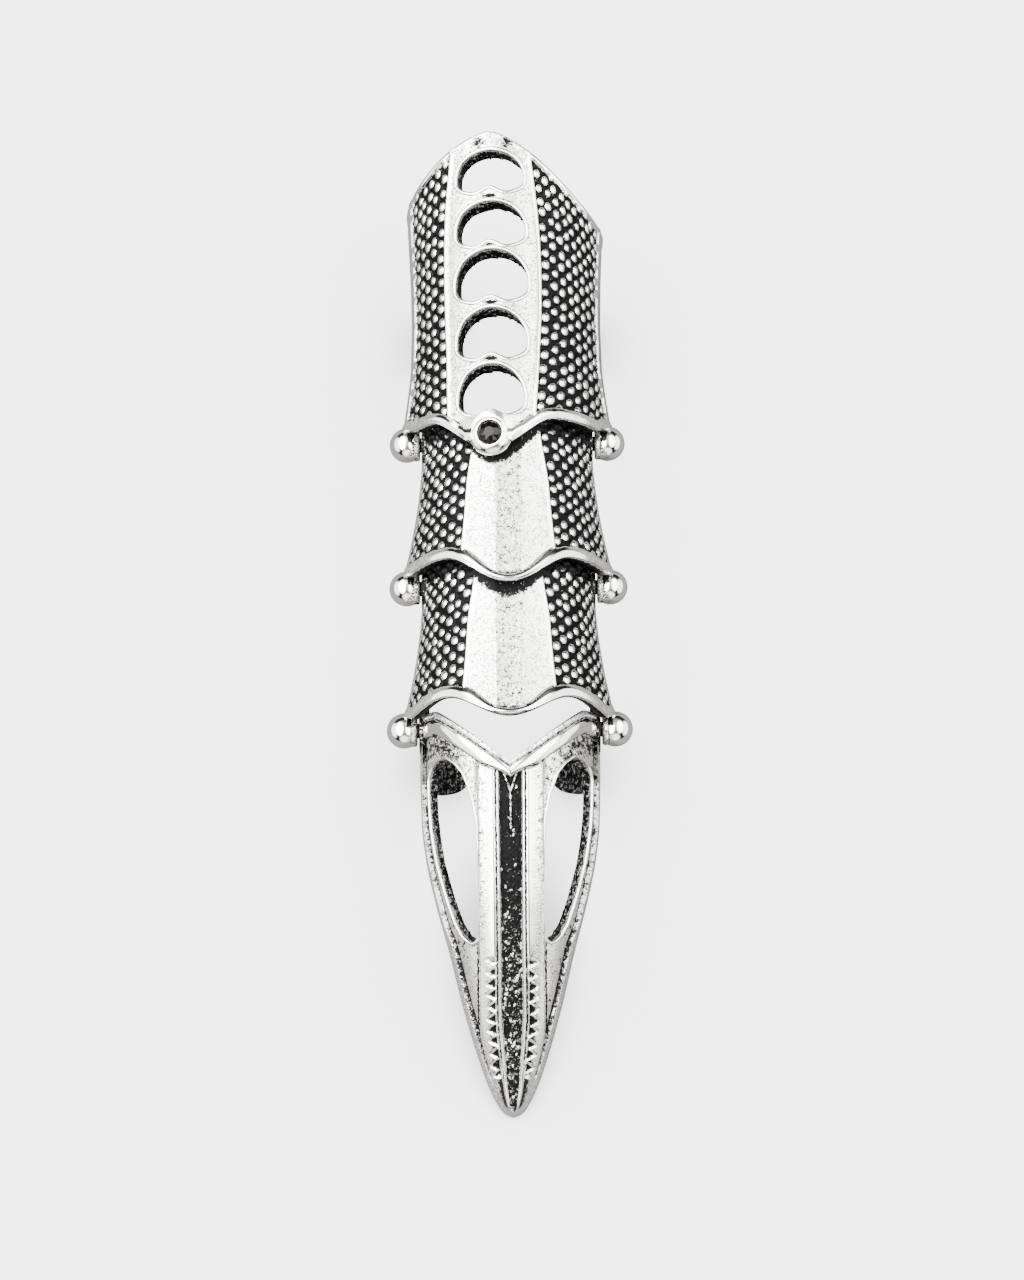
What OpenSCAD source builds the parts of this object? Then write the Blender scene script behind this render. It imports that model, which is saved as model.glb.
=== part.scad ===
// Full-finger armour ring of four hinged plates, lying palm side down.
// X runs across the finger, Y from the claw tip to the base end, Z up from the surface it lies on.

/* [Finger] */
// Inside radius of the open band at the base
finger_r = 8.6; // [8.2:0.1:9]
// Inside radius of the open band of the claw
tip_r = 8.1; // [7.6:0.1:8.4]
// Thickness of both bands
band_t = 1.4; // [1.1:0.1:1.7]
// Width of the base band along the finger
base_band_w = 8; // [5:0.5:10]
// Width of the claw band along the finger
claw_band_w = 7; // [5:0.5:8]
// Gap between the two rounded ends of the base band
base_band_gap = 11.8; // [9:0.2:13]
// Gap between the two rounded ends of the claw band
claw_band_gap = 9.4; // [8:0.2:11]
// Share of the shield's length from its hinge to the middle of the base band
base_band_place = 0.41; // [0.36:0.01:0.5]
// Distance from the claw's hinge to the middle of the claw band
claw_band_place = 2.6; // [1.5:0.1:4]

/* [Lengths] */
// Shield plate, from its hinge to its pointed end
shield_len = 32.05; // [29:0.05:38]
// Upper knuckle plate, from hinge to hinge
upper_len = 15.85; // [14.5:0.05:18]
// Lower knuckle plate, from hinge to hinge
lower_len = 15.5; // [14.5:0.05:18]
// Claw, from its hinge to its tip
claw_len = 40.5; // [36:0.5:46]

/* [Hinges] */
// Middle to the outer face of the upper plate's lugs
upper_lug_x = 9.2; // [9.1:0.05:9.6]
// Middle to the outer face of the lower plate's lugs
lower_lug_x = 9.3; // [9.1:0.05:9.6]
// Middle to the outer face of the claw's lugs
claw_lug_x = 9.65; // [9.6:0.05:10]
// Thickness of every lug
lug_t = 1.1; // [0.9:0.05:1.2]
// Radius of every lug
lug_r = 2.6; // [2.3:0.1:2.8]
// Side gap between two lugs
lug_gap = 0.2; // [0.15:0.05:0.3]
// Diameter of the hinge pins
pin_d = 1.6; // [1.3:0.1:1.8]
// Clearance round a pin, at the radius
pin_clear = 0.05; // [0.03:0.01:0.08]
// Diameter of the ball heads
ball_d = 3.76; // [3.4:0.02:4]
// How far the middle of a ball stands out from its lug
ball_out = 0.3; // [0.2:0.05:0.6]
// Diameter of the riveted inner pin ends
rivet_d = 2.6; // [2.2:0.1:3]
// Thickness of the riveted inner pin ends
rivet_t = 0.35; // [0.3:0.05:0.5]

/* [Plates] */
// Radius of a plate's hidden rear edge about its hinge
tuck_r = 9.6; // [9.5:0.05:9.8]
// How far a plate's rear edge runs past its hinge
tuck = 0.8; // [0.5:0.1:1.2]
// Gap between a hidden rear edge and the plate over it
tuck_gap = 0.4; // [0.3:0.05:0.5]
// Wall of the two knuckle plates
plate_t = 1; // [0.8:0.05:1.1]
// Thickness of the raised lower rims
rim_t = 1.3; // [1.1:0.05:1.5]
// Width of the raised lower rims
rim_w = 1; // [0.7:0.1:1.4]
// Depth of the beaded fields under the rims and the smooth band
relief = 0.35; // [0.2:0.05:0.45]
// How far the plates' side walls reach below the hinge line
skirt = 2.6; // [2.3:0.1:2.8]
// Half-width of the knuckle plates at their lower corners
corner_x = 11.6; // [11.2:0.1:11.9]

/* [Shield] */
// Half-width of the shield at its waist
waist_x = 10.2; // [10.1:0.05:10.6]
// Degrees that the shield's crown is turned on its lugs
crown_roll = 9; // [4:1:12]
// Fall of the crown from the lower edge to the pointed end
crown_fall = 0.7; // [0.3:0.1:0.8]
// Wall of the shield along its pierced spine
spine_t = 2.1; // [1.8:0.1:2.3]
// How far the shoulders lie behind the pointed end
shoulder_drop = 7.7; // [6:0.1:9]
// Width of the largest of the five windows
window_w = 7.9; // [7:0.1:8.2]
// Height of the largest of the five windows
window_h = 5.9; // [5:0.1:6]
// Height of the bump in each window's lower edge
bump_h = 0.8; // [0.5:0.1:1]

/* [Stone] */
// Diameter of the stone
stone_d = 2.4; // [2:0.1:2.6]
// Width of the raised collet round the stone
collet_t = 0.5; // [0.4:0.05:0.6]
// How far the collet stands up from the plate
collet_up = 0.45; // [0.3:0.05:0.6]

/* [Claw] */
// Half-width of the claw at its shoulders
claw_x = 9.6; // [9.5:0.05:9.8]
// Height of the claw's crown above its hinge
claw_rise = 9.2; // [8.8:0.1:9.4]
// Wall of the claw
claw_t = 1.4; // [1.2:0.05:1.5]
// Distance from the claw's hinge to the bottom of the V-shaped collar
collar_v = 5.1; // [4.6:0.1:5.6]
// Width of the collar
collar_w = 2.3; // [1.8:0.1:2.6]
// Half-width of the ridge that runs to the tip
ridge_x = 3.3; // [3:0.1:3.6]
// Half-width of the groove in the ridge
groove_x = 1.3; // [1:0.1:1.5]
// Depth of the groove
groove_h = 0.9; // [0.5:0.1:1]
// Depth of the claw's sides under the ridge and the rims
claw_relief = 0.4; // [0.2:0.05:0.5]
// Distance from the claw's hinge to the top of its side windows
side_window_top = 4.1; // [3.8:0.1:4.6]
// Length of the claw's side windows
side_window_len = 19; // [16:0.5:20]

/* [Hidden] */
$fn = 48;

// Heights and places that follow from the sizes above
hinge_z = sqrt(pow(finger_r + band_t, 2) - pow(base_band_gap / 2, 2));
claw_band_z = sqrt(pow(tip_r + band_t, 2) - pow(claw_band_gap / 2, 2));
whole_len = shield_len + upper_len + lower_len + claw_len;
base_hinge_y = whole_len / 2 - shield_len;
middle_hinge_y = base_hinge_y - upper_len;
claw_hinge_y = middle_hinge_y - lower_len;
tip_y = claw_hinge_y - claw_len;
apex_y = base_hinge_y + shield_len;
rim_rise = tuck_r + tuck_gap + rim_t;
skirt_a = 14;
side_a = 90 + skirt_a;
crest_a = 38;
edge_a = 72;
field_a = 84;
cut = 6;
lug_land = 0.05;
corner_gap = 0.3;

// Lower edges, from the hinge: [how far the middle point hangs down, crest, ends]
SHIELD_EDGE = [3.0, 0.45, 0.1];
UPPER_EDGE = [1.55, 1.4, 0.8];
LOWER_EDGE = [0.4, 2.0, 0.6];

// Shield stations: [share of shield_len from the hinge, half-width share of waist_x,
//                   share of crown_fall, share of spine_t, inner half-width share of finger_r]
SHIELD = [[-0.10, 1.135, 0.00, 0.62, 1.115],
          [ 0.00, 1.125, 0.00, 0.62, 1.115],
          [ 0.06, 1.095, 0.04, 0.66, 1.110],
          [ 0.13, 1.060, 0.10, 0.80, 1.070],
          [ 0.24, 1.015, 0.24, 0.95, 1.020],
          [ 0.40, 1.000, 0.40, 1.00, 1.000],
          [ 0.55, 1.010, 0.60, 1.00, 1.010],
          [ 0.75, 1.040, 0.82, 0.97, 1.030],
          [ 1.00, 1.040, 1.00, 0.88, 1.040]];

// Windows of the spine: [share of shield_len from the hinge, share of width, share of height]
WINDOWS = [[0.859, 0.92, 0.80],
           [0.677, 0.95, 0.86],
           [0.497, 1.00, 1.00],
           [0.296, 0.96, 0.97],
           [0.102, 0.90, 0.97]];

// Claw stations: [share of claw_len from the hinge, half-width share of claw_x,
//                 side line share of hinge_z, crown share of claw_rise,
//                 lower edge share of its height at the hinge]
CLAW = [[-0.07, 0.995, 1.00, 1.00, 1.00],
        [ 0.00, 0.995, 1.00, 1.00, 1.00],
        [ 0.13, 1.000, 0.98, 0.98, 0.97],
        [ 0.27, 0.985, 0.93, 0.92, 0.90],
        [ 0.36, 0.930, 0.88, 0.86, 0.84],
        [ 0.46, 0.830, 0.80, 0.78, 0.74],
        [ 0.58, 0.690, 0.68, 0.67, 0.59],
        [ 0.70, 0.570, 0.56, 0.54, 0.43],
        [ 0.80, 0.450, 0.45, 0.41, 0.28],
        [ 0.88, 0.340, 0.35, 0.29, 0.15],
        [ 0.94, 0.240, 0.26, 0.19, 0.06],
        [ 0.98, 0.140, 0.19, 0.11, 0.00],
        [ 1.00, 0.050, 0.15, 0.04, 0.00]];

// Side windows of the claw: [share of length from the top, inner edge, outer edge],
// the edges as shares of the claw's half-width there
SIDE_WINDOW = [[0.00, 0.74, 0.82],
               [0.04, 0.64, 0.90],
               [0.10, 0.55, 0.93],
               [0.22, 0.46, 0.93],
               [0.36, 0.41, 0.92],
               [0.56, 0.41, 0.91],
               [0.76, 0.44, 0.88],
               [0.89, 0.48, 0.84],
               [0.96, 0.53, 0.77],
               [1.00, 0.60, 0.68]];

// Straight blend, smooth step, and one column of a table read at a place between its rows
function mix(a, b, t) = a + (b - a) * t;
function smooth(t) = let (c = min(1, max(0, t))) c * c * (3 - 2 * c);
function column(table, n, at) = lookup(at, [for (row = table) [row[0], row[n]]]);

// Section of a plate at side angle a: half an ellipse over the hinge line, a straight skirt below it
function arch_x(a, half) = abs(a) < 90 ? half * sin(a) : half * sign(a);
function arch_z(a, rise, drop) = abs(a) < 90 ? rise * cos(a) : -drop * (abs(a) - 90) / skirt_a;

// Wavy lower edge: a point in the middle, a crest on each side, ends at the ball heads
function wave(b, edge) =
    let (a = abs(b), t = a / crest_a, u = (a - crest_a) / (edge_a - crest_a))
    t < 1 ? mix(-edge[0], edge[1], (1 - cos(180 * t)) / 2)
    : mix(edge[1], edge[2], (1 - cos(180 * min(1, u))) / 2);

// A closed wall between an outer and an inner sheet of points, sheets[i][j] with equal counts
module wall(outer, inner) {
    m = len(outer);
    n = len(outer[0]);
    points = concat([for (row = outer) for (p = row) p], [for (row = inner) for (p = row) p]);
    function o(i, j) = i * n + j;
    function q(i, j) = m * n + i * n + j;
    faces = concat(
        [for (i = [0 : m - 2]) for (j = [0 : n - 2])
            each [[o(i, j), o(i, j + 1), o(i + 1, j + 1)], [o(i, j), o(i + 1, j + 1), o(i + 1, j)],
                  [q(i, j), q(i + 1, j + 1), q(i, j + 1)], [q(i, j), q(i + 1, j), q(i + 1, j + 1)]]],
        [for (i = [0 : m - 2])
            each [[o(i, 0), o(i + 1, 0), q(i + 1, 0)], [o(i, 0), q(i + 1, 0), q(i, 0)],
                  [o(i, n - 1), q(i + 1, n - 1), o(i + 1, n - 1)],
                  [o(i, n - 1), q(i, n - 1), q(i + 1, n - 1)]]],
        [for (j = [0 : n - 2])
            each [[o(0, j), q(0, j + 1), o(0, j + 1)], [o(0, j), q(0, j), q(0, j + 1)],
                  [o(m - 1, j), o(m - 1, j + 1), q(m - 1, j + 1)],
                  [o(m - 1, j), q(m - 1, j + 1), q(m - 1, j)]]]);
    polyhedron(points, faces);
}

// The same wall for plates whose rows run from the rear to the lower edge
module wall_from_right(outer, inner) {
    m = len(outer);
    wall([for (k = [m - 1 : -1 : 0]) outer[k]], [for (k = [m - 1 : -1 : 0]) inner[k]]);
}

// Side angles of a grid whose smooth band has half-angle band: skirts, fields and band
side_columns = 12;
function half_angles(band) = [side_a, 90, field_a, field_a - 2, 70, 58, 47, 37, band + 2, band,
                              band * 0.67, band * 0.33];
function angles(band) =
    let (h = half_angles(band))
    concat([for (a = h) -a], [0], [for (k = [len(h) - 1 : -1 : 0]) h[k]]);
// Depth of the surface below the rims: the beaded fields lie deeper than all round them
function field_depth(k, row, rows) =
    let (i = min(k, 2 * side_columns - k))
    i >= 3 && i <= side_columns - 4 && row >= 2 && row <= rows - 3 ? relief : 0;
// Places along a plate: the rims at both ends get rows of their own
function places(length, n) =
    let (r = rim_w / length, e = (rim_w + 0.25) / length)
    concat([0, r], [for (k = [0 : n]) mix(e, 1 - e, k / n)], [1 - r, 1]);

// Lugs, pins and the holes that they need, on both sides of the finger
module both_sides() {
    children();
    mirror([1, 0, 0]) children();
}
module across(y, x0, x1, r) {
    translate([x0, y, hinge_z]) rotate([0, 90, 0]) cylinder(r = r, h = x1 - x0);
}
module inner_lugs(y, lug_x) {
    both_sides() across(y, lug_x - lug_t, lug_x, lug_r);
}
module outer_lugs(y, lug_x) {
    both_sides() across(y, lug_x + lug_gap, lug_x + lug_gap + lug_t, lug_r);
}
module pin_holes(y, lug_x) {
    both_sides() across(y, lug_x - 2 * lug_t, lug_x + 2 * lug_t, pin_d / 2 + pin_clear);
}
module ball_seats(y, lug_x) {
    face = lug_x + lug_gap + lug_t;
    both_sides() across(y, face, face + cut, ball_d / 2 + 2 * pin_clear);
}
// Flat round seats sunk into the lugs, so that the riveted pin ends lie flush with their inner faces
module rivet_seats(y, lug_x) {
    seat = lug_x - lug_t + rivet_t + pin_clear;
    both_sides() across(y, lug_x - 2 * lug_t, seat, rivet_d / 2 + 3 * pin_clear);
}
module pin(y, lug_x) {
    face = lug_x + lug_gap + lug_t;
    inside = lug_x - lug_t;
    color("silver") {
        difference() {
            translate([face + ball_out, y, hinge_z]) sphere(d = ball_d);
            translate([face + pin_clear - cut, y - cut, hinge_z - cut]) cube([cut, 2 * cut, 2 * cut]);
        }
        across(y, inside, face + ball_out, pin_d / 2);
        across(y, inside, inside + rivet_t, rivet_d / 2);
    }
}

// Open band: a ring about the finger whose two lower ends are rounded, cut off above top_z
module band(y, r, width, gap, centre_z, top_z) {
    difference() {
        translate([0, y + width / 2, centre_z]) rotate([90, 0, 0]) cylinder(r = r + band_t, h = width);
        translate([-2 * r, y - width, top_z]) cube([4 * r, 2 * width, 4 * r]);
        finger_hole(y, r, width, centre_z);
        translate([0, y, centre_z - 2 * r]) linear_extrude(2 * r) difference() {
            square([gap + width, width + 2], center = true);
            for (side = [-1, 1]) translate([side * (gap + width) / 2, 0]) circle(d = width);
        }
    }
}
module finger_hole(y, r, width, centre_z) {
    translate([0, y + width / 2 + 1, centre_z]) rotate([90, 0, 0]) cylinder(r = r, h = width + 2);
}

// Shield: side angle of a grid angle b, turned with the crown but not at the lugs
function rolled(b) = b - crown_roll * (1 - pow(min(1, abs(b) / side_a), 4));
function spine_a(t) = 24 + 7 * sin(180 * t);
function shield_rear(b) =
    let (s = abs(b) < 90 ? pow(abs(sin(b)), 1.5) : 1)
    apex_y - shoulder_drop * s * (1 + 0.17 * sign(b));
function shield_share(y) = (y - base_hinge_y) / shield_len;
function shield_rise(y) = rim_rise - crown_fall * column(SHIELD, 2, shield_share(y));
function shield_half(y) = waist_x * column(SHIELD, 1, shield_share(y));
function shield_inner_half(y) =
    mix(upper_lug_x + lug_gap + corner_gap, finger_r * column(SHIELD, 4, shield_share(y)),
        smooth(shield_share(y) / 0.24));
function shield_inner_rise(y) = shield_rise(y) - spine_t * column(SHIELD, 3, shield_share(y));
function shield_y(b, t) = mix(base_hinge_y + wave(b, SHIELD_EDGE), shield_rear(b), t);

module shield_wall() {
    rows = places(shield_len, 10);
    count = len(rows);
    grid = [for (t = rows) angles(spine_a(t))];
    outer = [for (k = [0 : 2 * side_columns]) [for (j = [0 : count - 1])
        let (b = grid[j][k], a = rolled(b), y = shield_y(b, rows[j]), d = field_depth(k, j, count))
        [arch_x(a, shield_half(y) - d), y, hinge_z + arch_z(a, shield_rise(y) - d, skirt)]]];
    inner = [for (k = [0 : 2 * side_columns]) [for (j = [0 : count - 1])
        let (b = grid[j][k], a = rolled(b), y = shield_y(b, rows[j]))
        [arch_x(a, shield_inner_half(y)), y, hinge_z + arch_z(a, shield_inner_rise(y), skirt)]]];
    wall(outer, inner);
}

// Turns its children to stand on the shield's crown at a place y along it
module on_crown(y) {
    rise = shield_rise(y);
    half = shield_half(y);
    a = rolled(0);
    translate([half * sin(a), y, hinge_z + rise * cos(a)])
        rotate([0, atan(rise / half * tan(a)), 0]) children();
}

// Outline of one window: a round arch over a flatter foot with a bump in its middle
function window_point(a, w, h) =
    let (x = w / 2 * cos(a), bump = bump_h * smooth(1 - abs(x) / (0.26 * w)))
    [x, a <= 180 ? 0.64 * h * sin(a) - 0.14 * h : -0.14 * h - 0.36 * h * pow(-sin(a), 0.6) + bump];
module spine_window(row) {
    w = window_w * row[1];
    h = window_h * row[2];
    on_crown(base_hinge_y + row[0] * shield_len) translate([0, 0, -cut])
        linear_extrude(2 * cut) polygon([for (a = [0 : 9 : 351]) window_point(a, w, h)]);
}

stone_y = base_hinge_y - SHIELD_EDGE[0] / 2;
stone_deep = stone_d * 0.36;
module stone_collet() {
    on_crown(stone_y) translate([0, 0, -rim_t / 2])
        cylinder(d = stone_d + 2 * collet_t, h = rim_t / 2 + collet_up);
}
module stone_pocket() {
    on_crown(stone_y) translate([0, 0, collet_up - 0.1 - stone_deep])
        cylinder(d = stone_d + 4 * pin_clear, h = cut);
}

base_band_y = base_hinge_y + base_band_place * shield_len;
module shield_plate() {
    color("silver") difference() {
        union() {
            shield_wall();
            outer_lugs(base_hinge_y, upper_lug_x);
            band(base_band_y, finger_r, base_band_w, base_band_gap, hinge_z, 3 * hinge_z);
            stone_collet();
        }
        finger_hole(base_band_y, finger_r, base_band_w, hinge_z);
        pin_holes(base_hinge_y, upper_lug_x);
        ball_seats(base_hinge_y, upper_lug_x);
        for (row = WINDOWS) spine_window(row);
        stone_pocket();
    }
}

// Round cut stone: an eight-sided table, crown and pavilion facets, a small flat culet
module centre_stone() {
    r = stone_d / 2;
    function ring(n, rr, z, off) = [for (k = [0 : n - 1]) let (a = 360 * (k + off) / n)
        [rr * cos(a), rr * sin(a), z]];
    girdle = 0.12;
    points = concat(ring(8, 0.58 * r, 0.26 * r, 0), ring(8, 0.99 * r, 0, 0.5),
                    ring(8, 0.99 * r, -girdle, 0.5), ring(8, 0.3 * r, pin_clear - stone_deep, 0));
    faces = concat([[for (k = [7 : -1 : 0]) k]], [[for (k = [0 : 7]) 24 + k]],
        [for (k = [0 : 7]) each let (n = (k + 1) % 8)
            [[k, n, 8 + k], [n, 8 + n, 8 + k], [8 + k, 8 + n, 16 + n, 16 + k],
             [16 + k, 16 + n, 24 + n], [16 + k, 24 + n, 24 + k]]]);
    color("dimgray") on_crown(stone_y) translate([0, 0, collet_up - 0.1]) polyhedron(points, faces);
}

// Knuckle plates: share t = 0 at the hidden rear edge, 1 at the wavy lower edge
function plate_band_a(t) = mix(22, 27, smooth(t / 0.5));
module knuckle_wall(rear_y, front_y, lug_x, next_x, edge) {
    length = rear_y - front_y;
    rows = places(length, 7);
    count = len(rows);
    grid = [for (t = rows) angles(plate_band_a(t))];
    function y(b, t) = mix(rear_y + tuck, front_y + wave(b, edge), t);
    function share(at) = min(1, max(0, (rear_y - at) / length));
    function half(at) = mix(lug_x - lug_land, corner_x, pow(share(at), 1.8));
    function rise(at) = mix(tuck_r, rim_rise, pow(share(at), 1.5));
    function thick(at) = mix(plate_t, rim_t, share(at));
    function inner_half(at) = mix(lug_x - lug_land - plate_t, next_x + lug_gap + corner_gap,
                                  smooth(share(at) / 0.8));
    outer = [for (k = [0 : 2 * side_columns]) [for (j = [0 : count - 1])
        let (b = grid[j][k], at = y(b, rows[j]), d = field_depth(k, j, count))
        [arch_x(b, half(at) - d), at, hinge_z + arch_z(b, rise(at) - d, skirt)]]];
    inner = [for (k = [0 : 2 * side_columns]) [for (j = [0 : count - 1])
        let (b = grid[j][k], at = y(b, rows[j]))
        [arch_x(b, inner_half(at)), at, hinge_z + arch_z(b, rise(at) - thick(at), skirt)]]];
    wall_from_right(outer, inner);
}
module knuckle_plate(rear_y, front_y, lug_x, next_x, edge) {
    color("silver") difference() {
        union() {
            knuckle_wall(rear_y, front_y, lug_x, next_x, edge);
            inner_lugs(rear_y, lug_x);
            outer_lugs(front_y, next_x);
        }
        pin_holes(rear_y, lug_x);
        rivet_seats(rear_y, lug_x);
        pin_holes(front_y, next_x);
        ball_seats(front_y, next_x);
    }
}
module upper_knuckle_plate() {
    knuckle_plate(base_hinge_y, middle_hinge_y, upper_lug_x, lower_lug_x, UPPER_EDGE);
}
module lower_knuckle_plate() {
    knuckle_plate(middle_hinge_y, claw_hinge_y, lower_lug_x, claw_lug_x, LOWER_EDGE);
}

// Claw: a hollow shell from its V-shaped collar to a solid tip
function claw_share(y) = (claw_hinge_y - y) / claw_len;
function claw_half(y) = claw_x * column(CLAW, 1, claw_share(y));
function claw_line(y) = hinge_z * column(CLAW, 2, claw_share(y));
function claw_crown(y) = claw_rise * column(CLAW, 3, claw_share(y));
function claw_floor(y) = (hinge_z - skirt) * column(CLAW, 4, claw_share(y));
function claw_side_t(y) = mix(lug_t - 2 * lug_land, claw_t, smooth(claw_share(y) / 0.13));
function claw_edge(a) = claw_hinge_y - collar_v + (collar_v + 1.1) * min(1, abs(sin(a)) / 0.85);
function hollow(y) = 1 - 0.97 * smooth((claw_share(y) - 0.66) / 0.2);
function share_a(x, half, most) = asin(min(most, x / half));
function claw_angles(y) =
    let (ridge = share_a(ridge_x, claw_half(y), 0.8), groove = share_a(groove_x, claw_half(y), 0.4),
         h = [side_a, 90, field_a, field_a - 3, mix(field_a, ridge, 0.33), mix(field_a, ridge, 0.66),
              ridge + 3, ridge, groove + 1.5, groove, groove * 0.5])
    concat([for (a = h) -a], [0], [for (k = [len(h) - 1 : -1 : 0]) h[k]]);
module claw_wall() {
    falls = concat([0, collar_w, collar_w + 0.4], [for (k = [1 : 14]) k]);
    count = len(falls);
    function y(a, j) = j < 3 ? claw_edge(a) - falls[j]
        : mix(claw_edge(a) - collar_w - 0.4, tip_y, 1 - pow(1 - falls[j] / 14, 1.25));
    // The angles of a row are read where its middle lies
    grid = [for (j = [0 : count - 1]) claw_angles(y(30, j))];
    function depth(k, j) = let (i = min(k, 22 - k))
        i >= 9 && j >= 2 && j < count - 2 ? groove_h
        : i >= 3 && i <= 6 && j >= 2 && j < count - 5 ? claw_relief : 0;
    outer = [for (k = [0 : 22]) [for (j = [0 : count - 1])
        let (a = grid[j][k], at = y(a, j), d = depth(k, j), line = claw_line(at))
        [arch_x(a, claw_half(at) - d), at, line + arch_z(a, claw_crown(at) - d, line - claw_floor(at))]]];
    inner = [for (k = [0 : 22]) [for (j = [0 : count - 1])
        let (a = grid[j][k], at = y(a, j), half = claw_half(at),
             drop = hollow(at) * (claw_line(at) - claw_floor(at)),
             rise = max(0.1, hollow(at) * (claw_crown(at) - 1.5 * claw_t)))
        [arch_x(a, max(half - claw_side_t(at), 0.35 * half)), at, claw_floor(at) + drop + arch_z(a, rise, drop)]]];
    wall_from_right(outer, inner);
}
claw_band_y = claw_hinge_y - claw_band_place;
module claw() {
    color("silver") difference() {
        union() {
            claw_wall();
            inner_lugs(claw_hinge_y, claw_lug_x);
            band(claw_band_y, tip_r, claw_band_w, claw_band_gap, claw_band_z, claw_band_z + 2);
        }
        pin_holes(claw_hinge_y, claw_lug_x);
        rivet_seats(claw_hinge_y, claw_lug_x);
        both_sides() side_window();
    }
}

// One side window, cut square to the claw's slanting side
module side_window() {
    slant = 45;
    function y(t) = claw_hinge_y - side_window_top - side_window_len * t;
    function edge(t, share) = let (at = y(t), half = claw_half(at), x = share * half,
        z = claw_line(at) + claw_crown(at) * sqrt(1 - share * share))
        [x * cos(slant) - z * sin(slant), at];
    outline = concat([for (row = SIDE_WINDOW) edge(row[0], row[1])],
        [for (k = [len(SIDE_WINDOW) - 1 : -1 : 0]) edge(SIDE_WINDOW[k][0], SIDE_WINDOW[k][2])]);
    rotate([0, slant, 0]) translate([0, 0, 7]) linear_extrude(20) polygon(outline);
}

shield_plate();
centre_stone();
upper_knuckle_plate();
lower_knuckle_plate();
claw();
mirror([1, 0, 0]) pin(base_hinge_y, upper_lug_x);  // base_pin_left
pin(base_hinge_y, upper_lug_x);  // base_pin_right
mirror([1, 0, 0]) pin(middle_hinge_y, lower_lug_x);  // middle_pin_left
pin(middle_hinge_y, lower_lug_x);  // middle_pin_right
mirror([1, 0, 0]) pin(claw_hinge_y, claw_lug_x);  // claw_pin_left
pin(claw_hinge_y, claw_lug_x);  // claw_pin_right
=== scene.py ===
# %% [markdown]
# # A full-finger armour ring in antiqued silver-tone metal
#
# The real object is four hollow castings hinged on ball-headed pins: a pierced shield plate that
# sits over the base of the finger, two beaded knuckle plates, and a claw. Each casting came out of
# its mould with the relief already in it, was blackened all over, and was then polished, so that
# only the high places are bright. This lesson builds that: smooth sheets from a few formulas, a
# relief height laid on them, and one metal whose polish and black oxide follow the relief.
# Some of that black is painted shade, under overlapping edges and on surfaces that turn away.

# %% Shared frame
import math

import bpy
import numpy as np
from mathutils import Matrix, Vector


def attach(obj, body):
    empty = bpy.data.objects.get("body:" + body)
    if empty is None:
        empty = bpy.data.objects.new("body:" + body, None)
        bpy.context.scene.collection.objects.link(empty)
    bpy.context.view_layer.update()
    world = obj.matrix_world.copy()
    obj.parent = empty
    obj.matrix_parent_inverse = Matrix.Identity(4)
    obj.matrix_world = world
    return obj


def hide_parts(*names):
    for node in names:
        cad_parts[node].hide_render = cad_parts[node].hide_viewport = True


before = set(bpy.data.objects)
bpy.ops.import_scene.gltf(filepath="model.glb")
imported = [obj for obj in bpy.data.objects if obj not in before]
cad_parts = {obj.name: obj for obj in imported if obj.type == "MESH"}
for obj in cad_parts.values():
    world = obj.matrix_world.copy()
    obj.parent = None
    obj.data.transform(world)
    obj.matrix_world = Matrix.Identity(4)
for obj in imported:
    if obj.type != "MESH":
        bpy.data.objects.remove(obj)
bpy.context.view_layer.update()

# %% [markdown]
# ## The sizes of the construction
#
# The sheets below repeat the construction's own sizes and tables, in millimetres, so that every
# detail lands on the plate that it belongs to. X runs across the finger, Y to its base, and Z up.

# %% Sizes in millimetres
FINGER_R, TIP_R, BAND_T = 8.6, 8.1, 1.4
SHIELD_LEN, UPPER_LEN, LOWER_LEN, CLAW_LEN = 32.05, 15.85, 15.5, 40.5
UPPER_LUG, LOWER_LUG, CLAW_LUG = 9.2, 9.3, 9.65
LUG_T, LUG_R, LUG_GAP, BALL_R, BALL_OUT = 1.1, 2.6, 0.2, 1.88, 0.3
TUCK_R, TUCK, RIM_T, RIM_W, RELIEF, SKIRT = 9.6, 0.4, 1.3, 1.0, 0.35, 2.6
CORNER_X, WAIST_X, CROWN_ROLL, CROWN_FALL, SPINE_T = 11.6, 10.2, 9.0, 0.7, 2.1
WINDOW_W, WINDOW_H, BUMP_H = 7.9, 5.9, 0.8
STONE_D, COLLET_T, COLLET_UP = 2.4, 0.5, 0.45
CLAW_X, CLAW_RISE, CLAW_T, COLLAR_V, COLLAR_W = 9.6, 9.2, 1.4, 5.1, 2.3
RIDGE_X, GROOVE_X, GROOVE_H, CLAW_RELIEF = 3.3, 1.3, 0.9, 0.4
HINGE_Z = math.sqrt((FINGER_R + BAND_T) ** 2 - 5.9 ** 2)
CLAW_BAND_Z = math.sqrt((TIP_R + BAND_T) ** 2 - 4.7 ** 2)
RIM_RISE = TUCK_R + 0.4 + RIM_T
APEX_Y = (SHIELD_LEN + UPPER_LEN + LOWER_LEN + CLAW_LEN) / 2
BASE_Y = APEX_Y - SHIELD_LEN
MIDDLE_Y = BASE_Y - UPPER_LEN
CLAW_Y = MIDDLE_Y - LOWER_LEN
TIP_Y = CLAW_Y - CLAW_LEN
SIDE_A, FIELD_A = 104, 73    # side angles of the skirt's edge and of the end of the shield's beads
BEAD_H, FACET_S = RELIEF + 0.02, 1.45    # height of a bead; half-width of a plate's middle facet
STONE_GROWTH = 1.08          # the stone against its size in the construction
INSIDE = 0.85, 0.8           # how black and how satin the inner sheets are
SHIELD_EDGE, UPPER_EDGE, LOWER_EDGE = (3.0, 0.45, 0.1), (1.55, 1.4, 0.8), (0.4, 2.0, 0.6)
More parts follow.
